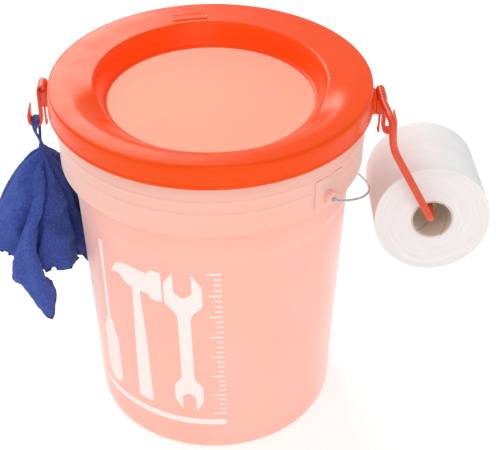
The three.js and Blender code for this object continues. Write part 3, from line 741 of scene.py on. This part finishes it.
RING_RADIUS = 157.3
RING_TOP = 379.6
SKIRT_BOTTOM = 356.0
SKIRT_INNER = 154.2
CREST_RADIUS = 139.0
LIP_RADIUS = 104.0
LIP_HEIGHT = 358.8
BEAD_RADIUS = 100.4
SHELL = 3.1
SEAT_RIB_INNER, SEAT_RIB_OUTER, SEAT_HEIGHT = 142.6, 145.2, 368.35
SNAP_INNER, SNAP_OUTER, SNAP_BOTTOM, SNAP_BEAD_HEIGHT = 148.3, 150.3, 358.0, 360.4
CLIP_OFFSET = 12.0
RAIL_BOTTOM, RAIL_TOP = 345.0, 359.0
PLATE_TURN, PLATE_RADIUS = math.radians(99.6), 124.5
PLATE_HALF_LENGTH, PLATE_HALF_DEPTH = 19.0, 6.0
PLATE_CORNER, PLATE_BORDER, PLATE_RISE = 2.5, 1.2, 0.95
# The dish is a gentle slope at the front, and a shelf with a steep wall at the back.
GENTLE_TO, STEEP_FROM = 50.0, 85.0
STEEP_SHARE, STEEP_DEPTH, STEEP_CURVE = 0.25, 0.96, 1.5
SHELL_OUT = 2.0


def gentle_dish(share):
    return share * (1.12 + share * (0.76 - 0.88 * share))


def steep_dish(share):
    if share < STEEP_SHARE:
        return STEEP_DEPTH * (1 - (1 - share / STEEP_SHARE) ** STEEP_CURVE)
    return STEEP_DEPTH + (1 - STEEP_DEPTH) * (share - STEEP_SHARE) / (1 - STEEP_SHARE)


def dish_share(radius):
    return min(1.0, max(0.0, (radius - LIP_RADIUS) / (CREST_RADIUS - LIP_RADIUS)))


def steepness(x, y):
    """How far the dish has turned from the gentle shape to the steep one at a place around it."""
    from_front = math.degrees(abs(math.atan2(x, -y)))
    share = min(1.0, max(0.0, (from_front - GENTLE_TO) / (STEEP_FROM - GENTLE_TO)))
    return share * share * (3 - 2 * share)


def dish_rise(radius):
    """How far the steep shape stands above the gentle one, softened where its wall meets the shelf."""
    shares = [dish_share(radius + step) for step in (-1.2, -0.6, 0.0, 0.6, 1.2)]
    rises = [steep_dish(share) - gentle_dish(share) for share in shares]
    return (RING_TOP - LIP_HEIGHT) * sum(rises) / len(rises)


def ring_outline():
    under = RING_TOP - SHELL
    skirt = rounded([
        (SKIRT_INNER + 1, under - 9, 0),
        (SKIRT_INNER, SKIRT_BOTTOM, 0.7),
        (RING_RADIUS, SKIRT_BOTTOM, 0.9),
        (RING_RADIUS + 0.1, SKIRT_BOTTOM + 2.2, 0.8),
        (RING_RADIUS - 0.7, SKIRT_BOTTOM + 3.4, 1.0),
        (RING_RADIUS - 1.2, RING_TOP - 6.5, 2.0),
        (RING_RADIUS - 2.0, RING_TOP - 0.9, 5.2),
        (RING_RADIUS - 9.0, RING_TOP - 0.35, 3),
        (CREST_RADIUS + 2, RING_TOP, 0),
    ], closed=False, steps=6)[:-1]
    depth = RING_TOP - LIP_HEIGHT
    shares = [*np.linspace(1.0, 0.34, 16), *np.linspace(0.32, 0.0, 24)]
    reach = CREST_RADIUS - LIP_RADIUS
    dish = [(LIP_RADIUS + reach * share, LIP_HEIGHT + depth * gentle_dish(share)) for share in shares]
    lip = rounded([
        (LIP_RADIUS, LIP_HEIGHT, 0),
        (LIP_RADIUS - 0.9, LIP_HEIGHT - 1.3, 0.7),
        (BEAD_RADIUS + 0.2, LIP_HEIGHT - 1.5, 1.2),
        (BEAD_RADIUS + 0.2, LIP_HEIGHT - 4.2, 1.2),
        (LIP_RADIUS + 0.6, LIP_HEIGHT - 4, 0.8),
        (LIP_RADIUS + 5, LIP_HEIGHT - 1, 0),
    ], closed=False)[1:-1]
    hollow = [(LIP_RADIUS + SHELL_OUT + reach * share, LIP_HEIGHT + depth * gentle_dish(share) - SHELL)
              for share in np.linspace(0.04, 1.0, 24)]
    inside = rounded([
        (CREST_RADIUS + SHELL_OUT, under, 0),
        (SEAT_RIB_INNER, under, 0.6),
        (SEAT_RIB_INNER, SEAT_HEIGHT, 0.4),
        (SEAT_RIB_OUTER, SEAT_HEIGHT, 0.4),
        (SEAT_RIB_OUTER, under, 0.6),
        (SNAP_INNER, under, 0.6),
        (SNAP_INNER, SNAP_BEAD_HEIGHT + 1.2, 0.3),
        (SNAP_INNER - 0.4, SNAP_BEAD_HEIGHT, 0.3),
        (SNAP_INNER, SNAP_BOTTOM, 0.4),
        (SNAP_OUTER, SNAP_BOTTOM, 0.5),
        (SNAP_OUTER, under, 0.6),
        (RING_RADIUS - 4.2, under - 3, 1.5),
        (SKIRT_INNER + 1, under - 9, 0),
    ], closed=False)[1:-1]
    return [*skirt, *dish, *lip, *hollow, *inside]


def rail(side, offset):
    """The T-rail that a clip slides on."""
    verts, faces = merged(
        box_solid((154.9, -8, RAIL_BOTTOM), (158.4, 8, 366), 0.5),
        box_solid((158.0, -2.2, RAIL_BOTTOM), (160.8, 2.2, RAIL_TOP), 0.3),
        box_solid((160.4, -5, RAIL_BOTTOM), (162.4, 5, RAIL_TOP), 0.5),
    )
    turn = Matrix.Translation((0, offset, 0)) @ Matrix.Rotation(0 if side > 0 else math.pi, 4, "Z")
    return moved(verts, turn), faces


def steepened(verts):
    """The turned ring with its dish raised to the steep shape towards the back."""
    depth = RING_TOP - LIP_HEIGHT
    found = []
    for x, y, z in verts:
        radius = math.hypot(x, y)
        on_top = z > LIP_HEIGHT + depth * gentle_dish(dish_share(radius)) - 0.1
        shifted = radius if on_top else radius - SHELL_OUT
        if LIP_RADIUS + 0.1 < shifted < CREST_RADIUS:
            z += steepness(x, y) * dish_rise(shifted)
        found.append((x, y, z))
    return found


def shelf_height(radius):
    """The height of the ring's top on its shelf at the back."""
    share = dish_share(radius)
    return LIP_HEIGHT + (RING_TOP - LIP_HEIGHT) * gentle_dish(share) + dish_rise(radius)


def blank_plate():
    """A blank raised plate with a rim, which follows the ring's surface."""
    columns, rows = 64, 26
    verts = []
    for y in np.linspace(-PLATE_HALF_DEPTH, PLATE_HALF_DEPTH, rows + 1):
        for x in np.linspace(-PLATE_HALF_LENGTH, PLATE_HALF_LENGTH, columns + 1):
            dx = max(abs(x) - (PLATE_HALF_LENGTH - PLATE_CORNER), 0)
            dy = max(abs(y) - (PLATE_HALF_DEPTH - PLATE_CORNER), 0)
            inset = min(PLATE_CORNER - math.hypot(dx, dy), PLATE_HALF_LENGTH - abs(x),
                        PLATE_HALF_DEPTH - abs(y))
            rise = PLATE_RISE * min(1.0, max(0.0, inset / 0.7)) - 1.2 * (inset < 0.05)
            if inset > PLATE_BORDER:
                rise = PLATE_RISE - 0.35 * min(1.0, (inset - PLATE_BORDER) / 0.6)
            place = PLATE_RADIUS + y
            turn = PLATE_TURN - x / PLATE_RADIUS
            verts.append((place * math.cos(turn), place * math.sin(turn), shelf_height(place) + rise))
    faces = [face[::-1] for face in grid_faces(columns, rows)]
    count = len(verts)
    verts += [(x, y, z - 1.6) for x, y, z in verts]
    faces += [tuple(i + count for i in reversed(face)) for face in faces]
    edge = grid_border(columns, rows)
    faces += [(b, a, a + count, b + count) for a, b in zip(edge, edge[1:] + edge[:1])]
    return verts, faces


def add_ring():
    verts, faces = lathe(ring_outline(), ROUND_STEPS)
    parts = [(steepened(verts), faces), rail(1, -CLIP_OFFSET), rail(-1, CLIP_OFFSET), blank_plate()]
    obj = piece("ring_body", *merged(*parts), "ring", "ring_plastic", [RING], ["seat_ring"])
    keep_sharp(obj)


# ---- clips

CLIP_VOXEL = 0.00034  # metres


def add_clip(node, body):
    """The moulded clip: the CAD shape with its edges rounded, as a moulding has them."""
    obj = linked(node + "_moulding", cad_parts[node].data.copy())
    remesh = obj.modifiers.new("skin", "REMESH")
    remesh.mode = "VOXEL"
    remesh.voxel_size = CLIP_VOXEL
    soften = obj.modifiers.new("soften", "SMOOTH")
    soften.factor = 0.5
    soften.iterations = 5
    apply_modifiers(obj)
    obj.data.materials.clear()
    obj.data.materials.append(CLIP)
    obj.data.polygons.foreach_set("use_smooth", [True] * len(obj.data.polygons))
    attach(obj, body)
    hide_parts(node)


# ---- roll arm

TUBE_X, TUBE_Z = 163.5, 364.0
TUBE_FRONT = -CLIP_OFFSET - 8.5
TUBE_BACK = -CLIP_OFFSET + 8.5
ROD_RADIUS = 3.7
SPIGOT_RADIUS = 2.8
SHOULDER_RADIUS = 4.2
SPIGOT_END = 3.4
GROOVE_HALF, GROOVE_DEPTH = 1.1, 0.8
SOCKET_GAP = 0.3
ROLL_FRONT = Vector((218, -53, 241.9))
ROLL_PITCH = math.radians(7.5)
ROLL_YAW = math.radians(2.5)
ROLL_RADIUS = 58.0
ROLL_LENGTH = 108.0
ROLL_SOFT = 1.6
TAIL_TURN = 3.9
TAIL_STEP = 0.45
CORE_RADIUS = 20.6
CORE_BORE = 19.3


def roll_axis():
    return Vector((math.sin(ROLL_YAW) * math.cos(ROLL_PITCH), math.cos(ROLL_YAW) * math.cos(ROLL_PITCH),
                   -math.sin(ROLL_PITCH)))


def spindle_tip():
    axis = roll_axis()
    depth = (2 - ROLL_FRONT.y) / axis.y
    height = (ROLL_FRONT + axis * depth).z + CORE_BORE - ROD_RADIUS - 0.6
    return Vector((219.6, 2, height))


ARM_FRONT = -61.0
ELBOW = (215.6, ARM_FRONT, 247.0)
# The rod's corners, each with the reach of its bend.
ARM_CORNERS = (
    ((TUBE_X, TUBE_FRONT - SOCKET_GAP, TUBE_Z), 0),
    ((TUBE_X, TUBE_FRONT - 6, TUBE_Z), 4),
    ((168.6, ARM_FRONT, 361.5), 9),
    ((170.6, ARM_FRONT, 333), 12),
    (ELBOW, 8),
    (spindle_tip(), 0),
)


def socket_lathe(outline, closed=False):
    """Turned work on the socket's axis: heights run along Y."""
    verts, faces = lathe(outline, 40, closed)
    turn = Matrix.Translation((TUBE_X, 0, TUBE_Z)) @ Matrix.Rotation(-math.pi / 2, 4, "X")
    return moved(verts, turn), faces


def add_arm():
    rod = sweep(bent_path(ARM_CORNERS, 1.2), ROD_RADIUS, 32)
    groove = SPIGOT_RADIUS - GROOVE_DEPTH
    spigot = socket_lathe(rounded([
        (0, TUBE_FRONT - SPIGOT_END, 0),
        (SHOULDER_RADIUS, TUBE_FRONT - SPIGOT_END, 0.7),
        (SHOULDER_RADIUS, TUBE_FRONT - SOCKET_GAP, 0.5),
        (SPIGOT_RADIUS, TUBE_FRONT - SOCKET_GAP, 0.2),
        (SPIGOT_RADIUS, -CLIP_OFFSET - GROOVE_HALF, 0.2),
        (groove, -CLIP_OFFSET - GROOVE_HALF, 0.2),
        (groove, -CLIP_OFFSET + GROOVE_HALF, 0.2),
        (SPIGOT_RADIUS, -CLIP_OFFSET + GROOVE_HALF, 0.2),
        (SPIGOT_RADIUS, TUBE_BACK + SPIGOT_END, 0.6),
        (0, TUBE_BACK + SPIGOT_END, 0),
    ], closed=False))
    obj = piece("arm_bar", *merged(rod, spigot), "arm", "arm_coating", [ARM], ["arm_rod"])
    keep_sharp(obj)


def add_arm_trim():
    """The O-ring in its groove, the push-on retainer, and the cap on the spindle."""
    seal = [(SPIGOT_RADIUS + 0.2 + 0.7 * math.cos(t), -CLIP_OFFSET + 0.75 * math.sin(t))
            for t in np.linspace(0, 2 * math.pi, 16, endpoint=False)]
    piece("arm_seal", *socket_lathe(seal, True), "arm", "rubber", [RUBBER], ["arm_o_ring"])
    nut = rounded([(3.1, TUBE_BACK + 1.0, 0.1), (4.1, TUBE_BACK + 0.3, 0.2),
                   (4.1, TUBE_BACK + 1.2, 0.2), (3.1, TUBE_BACK + 2.4, 0.1)])
    piece("arm_retainer", *socket_lathe(nut, True), "arm", "zinc_wire", [WIRE], ["arm_push_nut"])
    tip = spindle_tip()
    along = (tip - Vector(ELBOW)).normalized()
    cap = rounded([(0, 0, 0), (ROD_RADIUS, 0, 0.3), (3.6, 2.4, 0.9), (0, 2.4, 0)], closed=False)
    verts, faces = lathe(cap, 36, closed=False)
    verts = moved(verts, facing(tip + along * 0.3, along))
    piece("spindle_cap", verts, faces, "arm", "rubber", [RUBBER], ["arm_tip_cap"])


# ---- roll


def roll_place():
    return facing(ROLL_FRONT, roll_axis())


def wavy(value, scale, size):
    return size * noise.noise(Vector((value / scale, 3.7, 1.3)))


def roll_profile():
    """Round a section of the roll: (radius, place along it, whether it is on a cut end)."""
    inner, outer, soft = CORE_RADIUS + 0.3, ROLL_RADIUS - ROLL_SOFT, ROLL_SOFT
    cut = np.linspace(CORE_RADIUS + 1.5, ROLL_RADIUS - 2.2, 42)
    turns = np.linspace(0, math.pi / 2, 5)
    near = [(r, 0.25 + wavy(r, 2.2, 0.35), 1) for r in cut]
    near += [(outer + soft * math.sin(t), soft - soft * math.cos(t) + 0.1, 0) for t in turns]
    side = [(ROLL_RADIUS - 0.15 + wavy(z, 19, 0.25), z, 0) for z in np.linspace(5, ROLL_LENGTH - 5, 16)]
    far = [(outer + soft * math.cos(t), ROLL_LENGTH - soft + soft * math.sin(t) - 0.1, 0) for t in turns]
    far += [(r, ROLL_LENGTH - 0.25 + wavy(r + 90, 2.2, 0.35), 1) for r in reversed(cut)]
    return [(inner, 0.5, 1), *near, *side, *far, (inner, ROLL_LENGTH - 0.5, 1)]


def add_roll():
    """The tissue: soft edges, ends that show its turns, and the last sheet's edge lying on it."""
    steps = 240
    profile = roll_profile()
    count = len(profile)
    verts = []
    for k in range(steps + 1):
        turn = TAIL_TURN + 2 * math.pi * k / steps
        for r, z, _ in profile:
            outer = max(0.0, (r - CORE_RADIUS) / (ROLL_RADIUS - CORE_RADIUS))
            reach = r - TAIL_STEP * (1 - k / steps) * outer ** 6
            verts.append((reach * math.cos(turn), reach * math.sin(turn), z))
    faces = skin(steps + 1, count)
    last = steps * count
    faces += [(last + i, i, (i + 1) % count, last + (i + 1) % count) for i in range(count)]
    obj = piece("tissue_roll", moved(verts, roll_place()), faces, "roll", "tissue",
                [TISSUE, TISSUE_EDGE], ["paper_roll"])
    mesh = obj.data
    layer = mesh.uv_layers.new(name="wound")
    for polygon in mesh.polygons:
        i = polygon.index % count
        on_end = polygon.index < last and profile[i][2] and profile[(i + 1) % count][2]
        polygon.material_index = on_end
        for loop in polygon.loop_indices:
            k, i = divmod(mesh.loops[loop].vertex_index, count)
            r, z, _ = profile[i]
            angle = 2 * math.pi * k / steps
            layer.data[loop].uv = (r * MM, angle * 0.05) if on_end else (angle * ROLL_RADIUS * MM, z * MM)
    weld_and_sharpen(obj)


def weld_and_sharpen(obj):
    distance = 0.00001
    edit = bmesh.new()
    edit.from_mesh(obj.data)
    bmesh.ops.remove_doubles(edit, verts=edit.verts, dist=distance)
    bmesh.ops.dissolve_degenerate(edit, edges=edit.edges, dist=distance)
    edit.to_mesh(obj.data)
    edit.free()
    keep_sharp(obj, 50)


def add_core():
    """The board tube, a little ragged at its cut ends."""
    chamfer = 0.2 * (CORE_RADIUS - CORE_BORE)
    outline = [(CORE_BORE, z) for z in np.linspace(ROLL_LENGTH - 0.6, 0.6, 30)]
    outline += [(CORE_BORE + chamfer, 0.0), (CORE_RADIUS - chamfer, 0.0)]
    outline += [(CORE_RADIUS, z) for z in np.linspace(0.6, ROLL_LENGTH - 0.6, 10)]
    outline += [(CORE_RADIUS - chamfer, ROLL_LENGTH), (CORE_BORE + chamfer, ROLL_LENGTH)]
    verts, faces = lathe(outline, 120)
    ragged = []
    for x, y, z in verts:
        turn = math.atan2(y, x)
        lift = 0.18 * noise.noise(Vector((3 * math.cos(turn), 3 * math.sin(turn), z / 40)))
        swell = 1 + lift / 60
        ragged.append((x * swell, y * swell, min(max(z + lift, 0.0), ROLL_LENGTH)))
    obj = piece("core_tube", moved(ragged, roll_place()), faces, "roll", "core_board", [CORE],
                ["roll_core"])
    layer = obj.data.uv_layers.new(name="wound")
    inverse = roll_place().inverted()
    for polygon in obj.data.polygons:
        turns = []
        for loop in polygon.loop_indices:
            place = inverse @ (obj.data.vertices[obj.data.loops[loop].vertex_index].co / MM)
            turns.append((loop, math.atan2(place.y, place.x), place.z))
        wrap = max(t for _, t, _ in turns) - min(t for _, t, _ in turns) > math.pi
        for loop, turn, z in turns:
            turn += 2 * math.pi * (wrap and turn < 0)
            layer.data[loop].uv = (turn / (2 * math.pi) * 0.2, z * MM)
    keep_sharp(obj, 50)


# ---- bail

WIRE_RADIUS = 1.2
BAIL_HALF_WIDTH = 160.0
BAIL_REACH = 165.5
BAIL_AXIS = Vector((math.cos(EAR_ANGLE), math.sin(EAR_ANGLE), 0))
BAIL_REST = math.radians(28.5)
BAIL_STRAIGHT = 42.0
BAIL_POINTEDNESS = 1.08
GRIP_LENGTH = 78.0
GRIP_RADIUS = 7.5
GRIP_BORE = 1.7
GROOVE_PITCH = 9.0


def bail_point(along, out):
    """A place on the bail at rest: along the line between the ears, and out from that line."""
    level = Vector((-BAIL_AXIS.y, BAIL_AXIS.x, 0))
    return (Vector((0, 0, EAR_HEIGHT)) + BAIL_AXIS * along + level * out * math.cos(BAIL_REST)
            - Vector((0, 0, 1)) * out * math.sin(BAIL_REST))


def bail_half():
    quarter = BAIL_HALF_WIDTH - BAIL_STRAIGHT
    places = [(150.9, 0), (154, 0), (156.6, 0.1), (159.2, 1.4), (160.4, 4.6)]
    for degrees in range(6, 85, 6):
        turn = math.radians(degrees)
        across = math.cos(turn) ** BAIL_POINTEDNESS
        down = math.sin(turn) ** BAIL_POINTEDNESS
        places.append((BAIL_STRAIGHT + quarter * across, BAIL_REACH * down))
    return [*places, (BAIL_STRAIGHT, BAIL_REACH), (BAIL_STRAIGHT / 2, BAIL_REACH)]


def smooth_path(points, steps):
    """A Catmull-Rom curve through the points, its knots spaced by the roots of their distances."""
    points = [Vector(p) for p in points]
    points = [2 * points[0] - points[1], *points, 2 * points[-1] - points[-2]]
    found = []
    for i in range(1, len(points) - 2):
        corners = points[i - 1:i + 3]
        knots = [0.0]
        for a, b in zip(corners, corners[1:]):
            knots.append(knots[-1] + math.sqrt((b - a).length))
        for k in range(steps):
            t = knots[1] + (knots[2] - knots[1]) * k / steps
            layer = corners
            for reach in (1, 2):
                layer = [a.lerp(b, (t - knots[j]) / (knots[j + reach] - knots[j]))
                         for j, (a, b) in enumerate(zip(layer, layer[1:]))]
            found.append(layer[0].lerp(layer[1], (t - knots[1]) / (knots[2] - knots[1])))
    return [*found, points[-2]]


def add_bail():
    half = bail_half()
    places = [bail_point(a, o) for a, o in half] + [bail_point(-a, o) for a, o in reversed(half)]
    wire = sweep(smooth_path(places, 6), WIRE_RADIUS, 20)
    keep_sharp(piece("bail_bow", *wire, "bail", "zinc_wire", [WIRE], ["bail_wire"]), 60)


def add_grip():
    """The bail's grip: a tube with finger grooves."""
    half = GRIP_LENGTH / 2
    outline = [(GRIP_BORE, -half), (GRIP_RADIUS - 1.2, -half), (GRIP_RADIUS - 0.3, -half + 0.5)]
    for z in np.linspace(-half + 1.5, half - 1.5, 96):
        wave = 0.5 + 0.5 * math.cos(2 * math.pi * z / GROOVE_PITCH)
        groove = 0.5 * wave ** 3 if abs(z) < half - 8 else 0.0
        outline.append((GRIP_RADIUS - groove, z))
    outline += [(GRIP_RADIUS - 0.3, half - 0.5), (GRIP_RADIUS - 1.2, half), (GRIP_BORE, half)]
    verts, faces = lathe(outline, 48)
    verts = moved(verts, facing(bail_point(0, BAIL_REACH), BAIL_AXIS))
    obj = piece("grip_tube", verts, faces, "grip", "grip_plastic", [GRIP], ["bail_grip"])
    keep_sharp(obj)


# ---- cloth

CLOTH_SIDE = 305.0
CLOTH_CELLS = 60
CLOTH_APEX = Vector((-170.8, 11.0, 304.0))
CLOTH_THICKNESS = 1.5
CLOTH_PINNED = 9.0
CLOTH_NECK = 26.0
CLOTH_FRAMES = 16
HEM_RADIUS = 1.1
NAP = 0.00028  # metres
# Ridges of the gathered cloth: an azimuth and an angle from straight down, in degrees.
RIDGES = ((-95, 17), (-52, 19), (-8, 8), (36, 14), (78, 28), (108, 30), (140, 29), (186, 25))
VALLEY = 1.0


def gathered_section(swell, count=1440):
    """Directions round the gathered cloth from its first ridge, with the length along them."""
    places = []
    for k in range(count + 1):
        i, t = divmod(k * len(RIDGES) / count, 1)
        from_azimuth, from_fall = RIDGES[int(i) % len(RIDGES)]
        to_azimuth, to_fall = RIDGES[(int(i) + 1) % len(RIDGES)]
        to_azimuth += 360 * (to_azimuth < from_azimuth)
        azimuth = math.radians(from_azimuth + (to_azimuth - from_azimuth) * t)
        ridge = 0.5 + 0.5 * math.cos(2 * math.pi * t)
        fall = math.radians(VALLEY + (from_fall + (to_fall - from_fall) * t - VALLEY) * ridge * swell)
        outward = math.sin(fall)
        places.append((outward * math.cos(azimuth), outward * math.sin(azimuth), -math.cos(fall)))
    places = np.array(places)
    lengths = np.concatenate(([0.0], np.cumsum(np.linalg.norm(np.diff(places, axis=0), axis=1))))
    return places, lengths


def fitted_section():
    """The section whose length is a full turn, so that the cloth is folded and not stretched."""
    low, high = 0.3, 3.0
    for _ in range(40):
        middle = (low + high) / 2
        if gathered_section(middle)[1][-1] < 2 * math.pi:
            low = middle
        else:
            high = middle
    return gathered_section(low)


def gathered_sheet():
    """The square sheet held at its middle, in folds that all start there, and its map in metres."""
    places, lengths = fitted_section()
    half = CLOTH_SIDE / 2
    steps = np.linspace(-half, half, CLOTH_CELLS + 1)
    verts, flat = [], []
    for v in steps:
        for u in steps:
            along = (math.atan2(v, u) - math.pi / 4) % (2 * math.pi)
            way = np.array([np.interp(along, lengths, places[:, axis]) for axis in range(3)])
            verts.append(CLOTH_APEX + math.hypot(u, v) * Vector(way))
            flat.append((u * MM, v * MM))
    return verts, grid_faces(CLOTH_CELLS, CLOTH_CELLS), flat


def wall_for_cloth():
    """A plain copy of the bucket's outside for the cloth to lie against while it settles."""
    outline = [(0, 20), (wall_radius(20) + 1, 20), (wall_radius(298) + 1, 298),
               (COLLAR_RADIUS + 1, COLLAR_BOTTOM), (RING_RADIUS + 1, SKIRT_BOTTOM),
               (RING_RADIUS + 1, 378), (0, 378)]
    verts, faces = lathe(outline, 96, closed=False)
    mesh = bpy.data.meshes.new("wall_for_cloth")
    mesh.from_pydata([tuple(c * MM for c in v) for v in verts], [], faces)
    wall = linked("wall_for_cloth", mesh)
    wall.modifiers.new("wall", "COLLISION")
    wall.collision.thickness_outer = 0.001
    wall.collision.cloth_friction = 8
    return wall


def settle(obj, pinned, neck):
    """Lets the cloth hang until it settles, and keeps the shape."""
    for name, members in (("pinned", pinned), ("neck", neck)):
        obj.vertex_groups.new(name=name).add(members, 1.0, "REPLACE")
    wall = wall_for_cloth()
    cloth = obj.modifiers.new("hang", "CLOTH")
    settings = cloth.settings
    settings.quality = 6
    settings.mass = 0.02
    settings.tension_stiffness = settings.compression_stiffness = 30
    settings.shear_stiffness = 8
    settings.bending_stiffness = 0.06
    settings.air_damping = 2
    settings.vertex_group_mass = "pinned"
    contact = cloth.collision_settings
    contact.collision_quality = 3
    contact.distance_min = 0.001
    contact.use_self_collision = True
    contact.self_distance_min = 0.0018
    contact.vertex_group_self_collisions = "neck"
    cloth.point_cache.frame_end = CLOTH_FRAMES
    for frame_number in range(1, CLOTH_FRAMES + 1):
        SCENE.frame_set(frame_number)
    apply_modifiers(obj)
    SCENE.frame_set(1)
    bpy.data.objects.remove(wall)


def napped(obj):
    """Moves the cloth's points a little in and out, as its loops stand."""
    vertices = obj.data.vertices
    standing = [v.co + v.normal * NAP * (noise.noise(v.co * 420) + 0.5 * noise.noise(v.co * 900))
                for v in vertices]
    vertices.foreach_set("co", np.array(standing, dtype=np.float32).ravel())


def add_cloth():
    """The microfibre cloth: a square sheet with a sewn edge, hung by its middle from the loop."""
    verts, faces, flat = gathered_sheet()
    obj = piece("cloth_sheet", verts, faces, "cloth", "microfibre", [CLOTH], ["cloth"])
    layer = obj.data.uv_layers.new(name="flat")
    for loop in obj.data.loops:
        layer.data[loop.index].uv = flat[loop.vertex_index]
    reach = [math.hypot(u, v) / MM for u, v in flat]
    settle(obj, [i for i, r in enumerate(reach) if r < CLOTH_PINNED],
           [i for i, r in enumerate(reach) if r < CLOTH_NECK])
    rim = [obj.data.vertices[i].co / MM for i in grid_border(CLOTH_CELLS, CLOTH_CELLS)]
    finer = obj.modifiers.new("finer", "SUBSURF")
    finer.levels = finer.render_levels = 2
    finer.boundary_smooth = "PRESERVE_CORNERS"
    thick = obj.modifiers.new("thick", "SOLIDIFY")
    thick.thickness = CLOTH_THICKNESS * MM
    thick.offset = 0
    apply_modifiers(obj)
    napped(obj)
    obj.data.polygons.foreach_set("use_smooth", [True] * len(obj.data.polygons))
    hem = piece("cloth_hem", *sweep(rim, HEM_RADIUS, 10, closed=True), "cloth", "microfibre", [HEM])
    keep_sharp(hem, 80)


LOOP_X, LOOP_Y = -173.5, 12.0
LOOP_LEAN, LOOP_LEAN_FROM = 0.12, 316.0


def add_loop():
    """The ribbon loop over the hook's bowl: its two legs meet at the cloth. Each row of half is
    x, y and z about the hook, and the ribbon's width there."""
    half = [(0.4, -1.0, 298.0, 2.4), (-0.1, -1.3, 303.0, 2.8), (-0.9, -2.0, 308.0, 3.0),
            (-1.6, -3.6, 313.0, 2.9), (-1.2, -6.2, 319.0, 4.6), (-0.3, -7.5, 323.5, 6.4),
            (0.0, -7.3, 326.2, 7.0), (0.0, -6.2, 327.4, 7.2), (0.0, -3.0, 327.6, 7.2)]
    rows = half + [(-x, -y, z, w) for x, y, z, w in reversed(half)]
    places = [(LOOP_X + x + LOOP_LEAN * max(0.0, LOOP_LEAN_FROM - z), LOOP_Y + y, z)
              for x, y, z, _ in rows]
    path = smooth_path(places, 6)
    widths = np.interp(np.linspace(0, 1, len(path)), np.linspace(0, 1, len(rows)), [w for *_, w in rows])
    sides, thickness = 20, 1.1
    verts = []
    for i, place in enumerate(path):
        ahead = path[min(i + 1, len(path) - 1)] - path[max(i - 1, 0)]
        off = ahead.cross(Vector((1, 0, 0))).normalized()
        for k in range(sides):
            turn = 2 * math.pi * k / sides
            across = math.copysign(abs(math.cos(turn)) ** 0.35, math.cos(turn)) * widths[i] / 2
            through = math.copysign(abs(math.sin(turn)) ** 0.7, math.sin(turn)) * thickness / 2
            verts.append(tuple(place + Vector((across, 0, 0)) + off * through))
    faces = skin(len(path), sides) + end_caps(len(path), sides)
    obj = piece("loop_strap", verts, faces, "cloth", "loop_ribbon", [RIBBON], ["cloth_loop"])
    keep_sharp(obj, 60)


add_camera()
add_studio()
add_bucket()
add_print()
add_ring()
add_clip("right_clip", "right_clip")
add_clip("left_clip", "left_clip")
add_arm()
add_arm_trim()
add_roll()
add_core()
add_bail()
add_grip()
add_loop()
add_cloth()
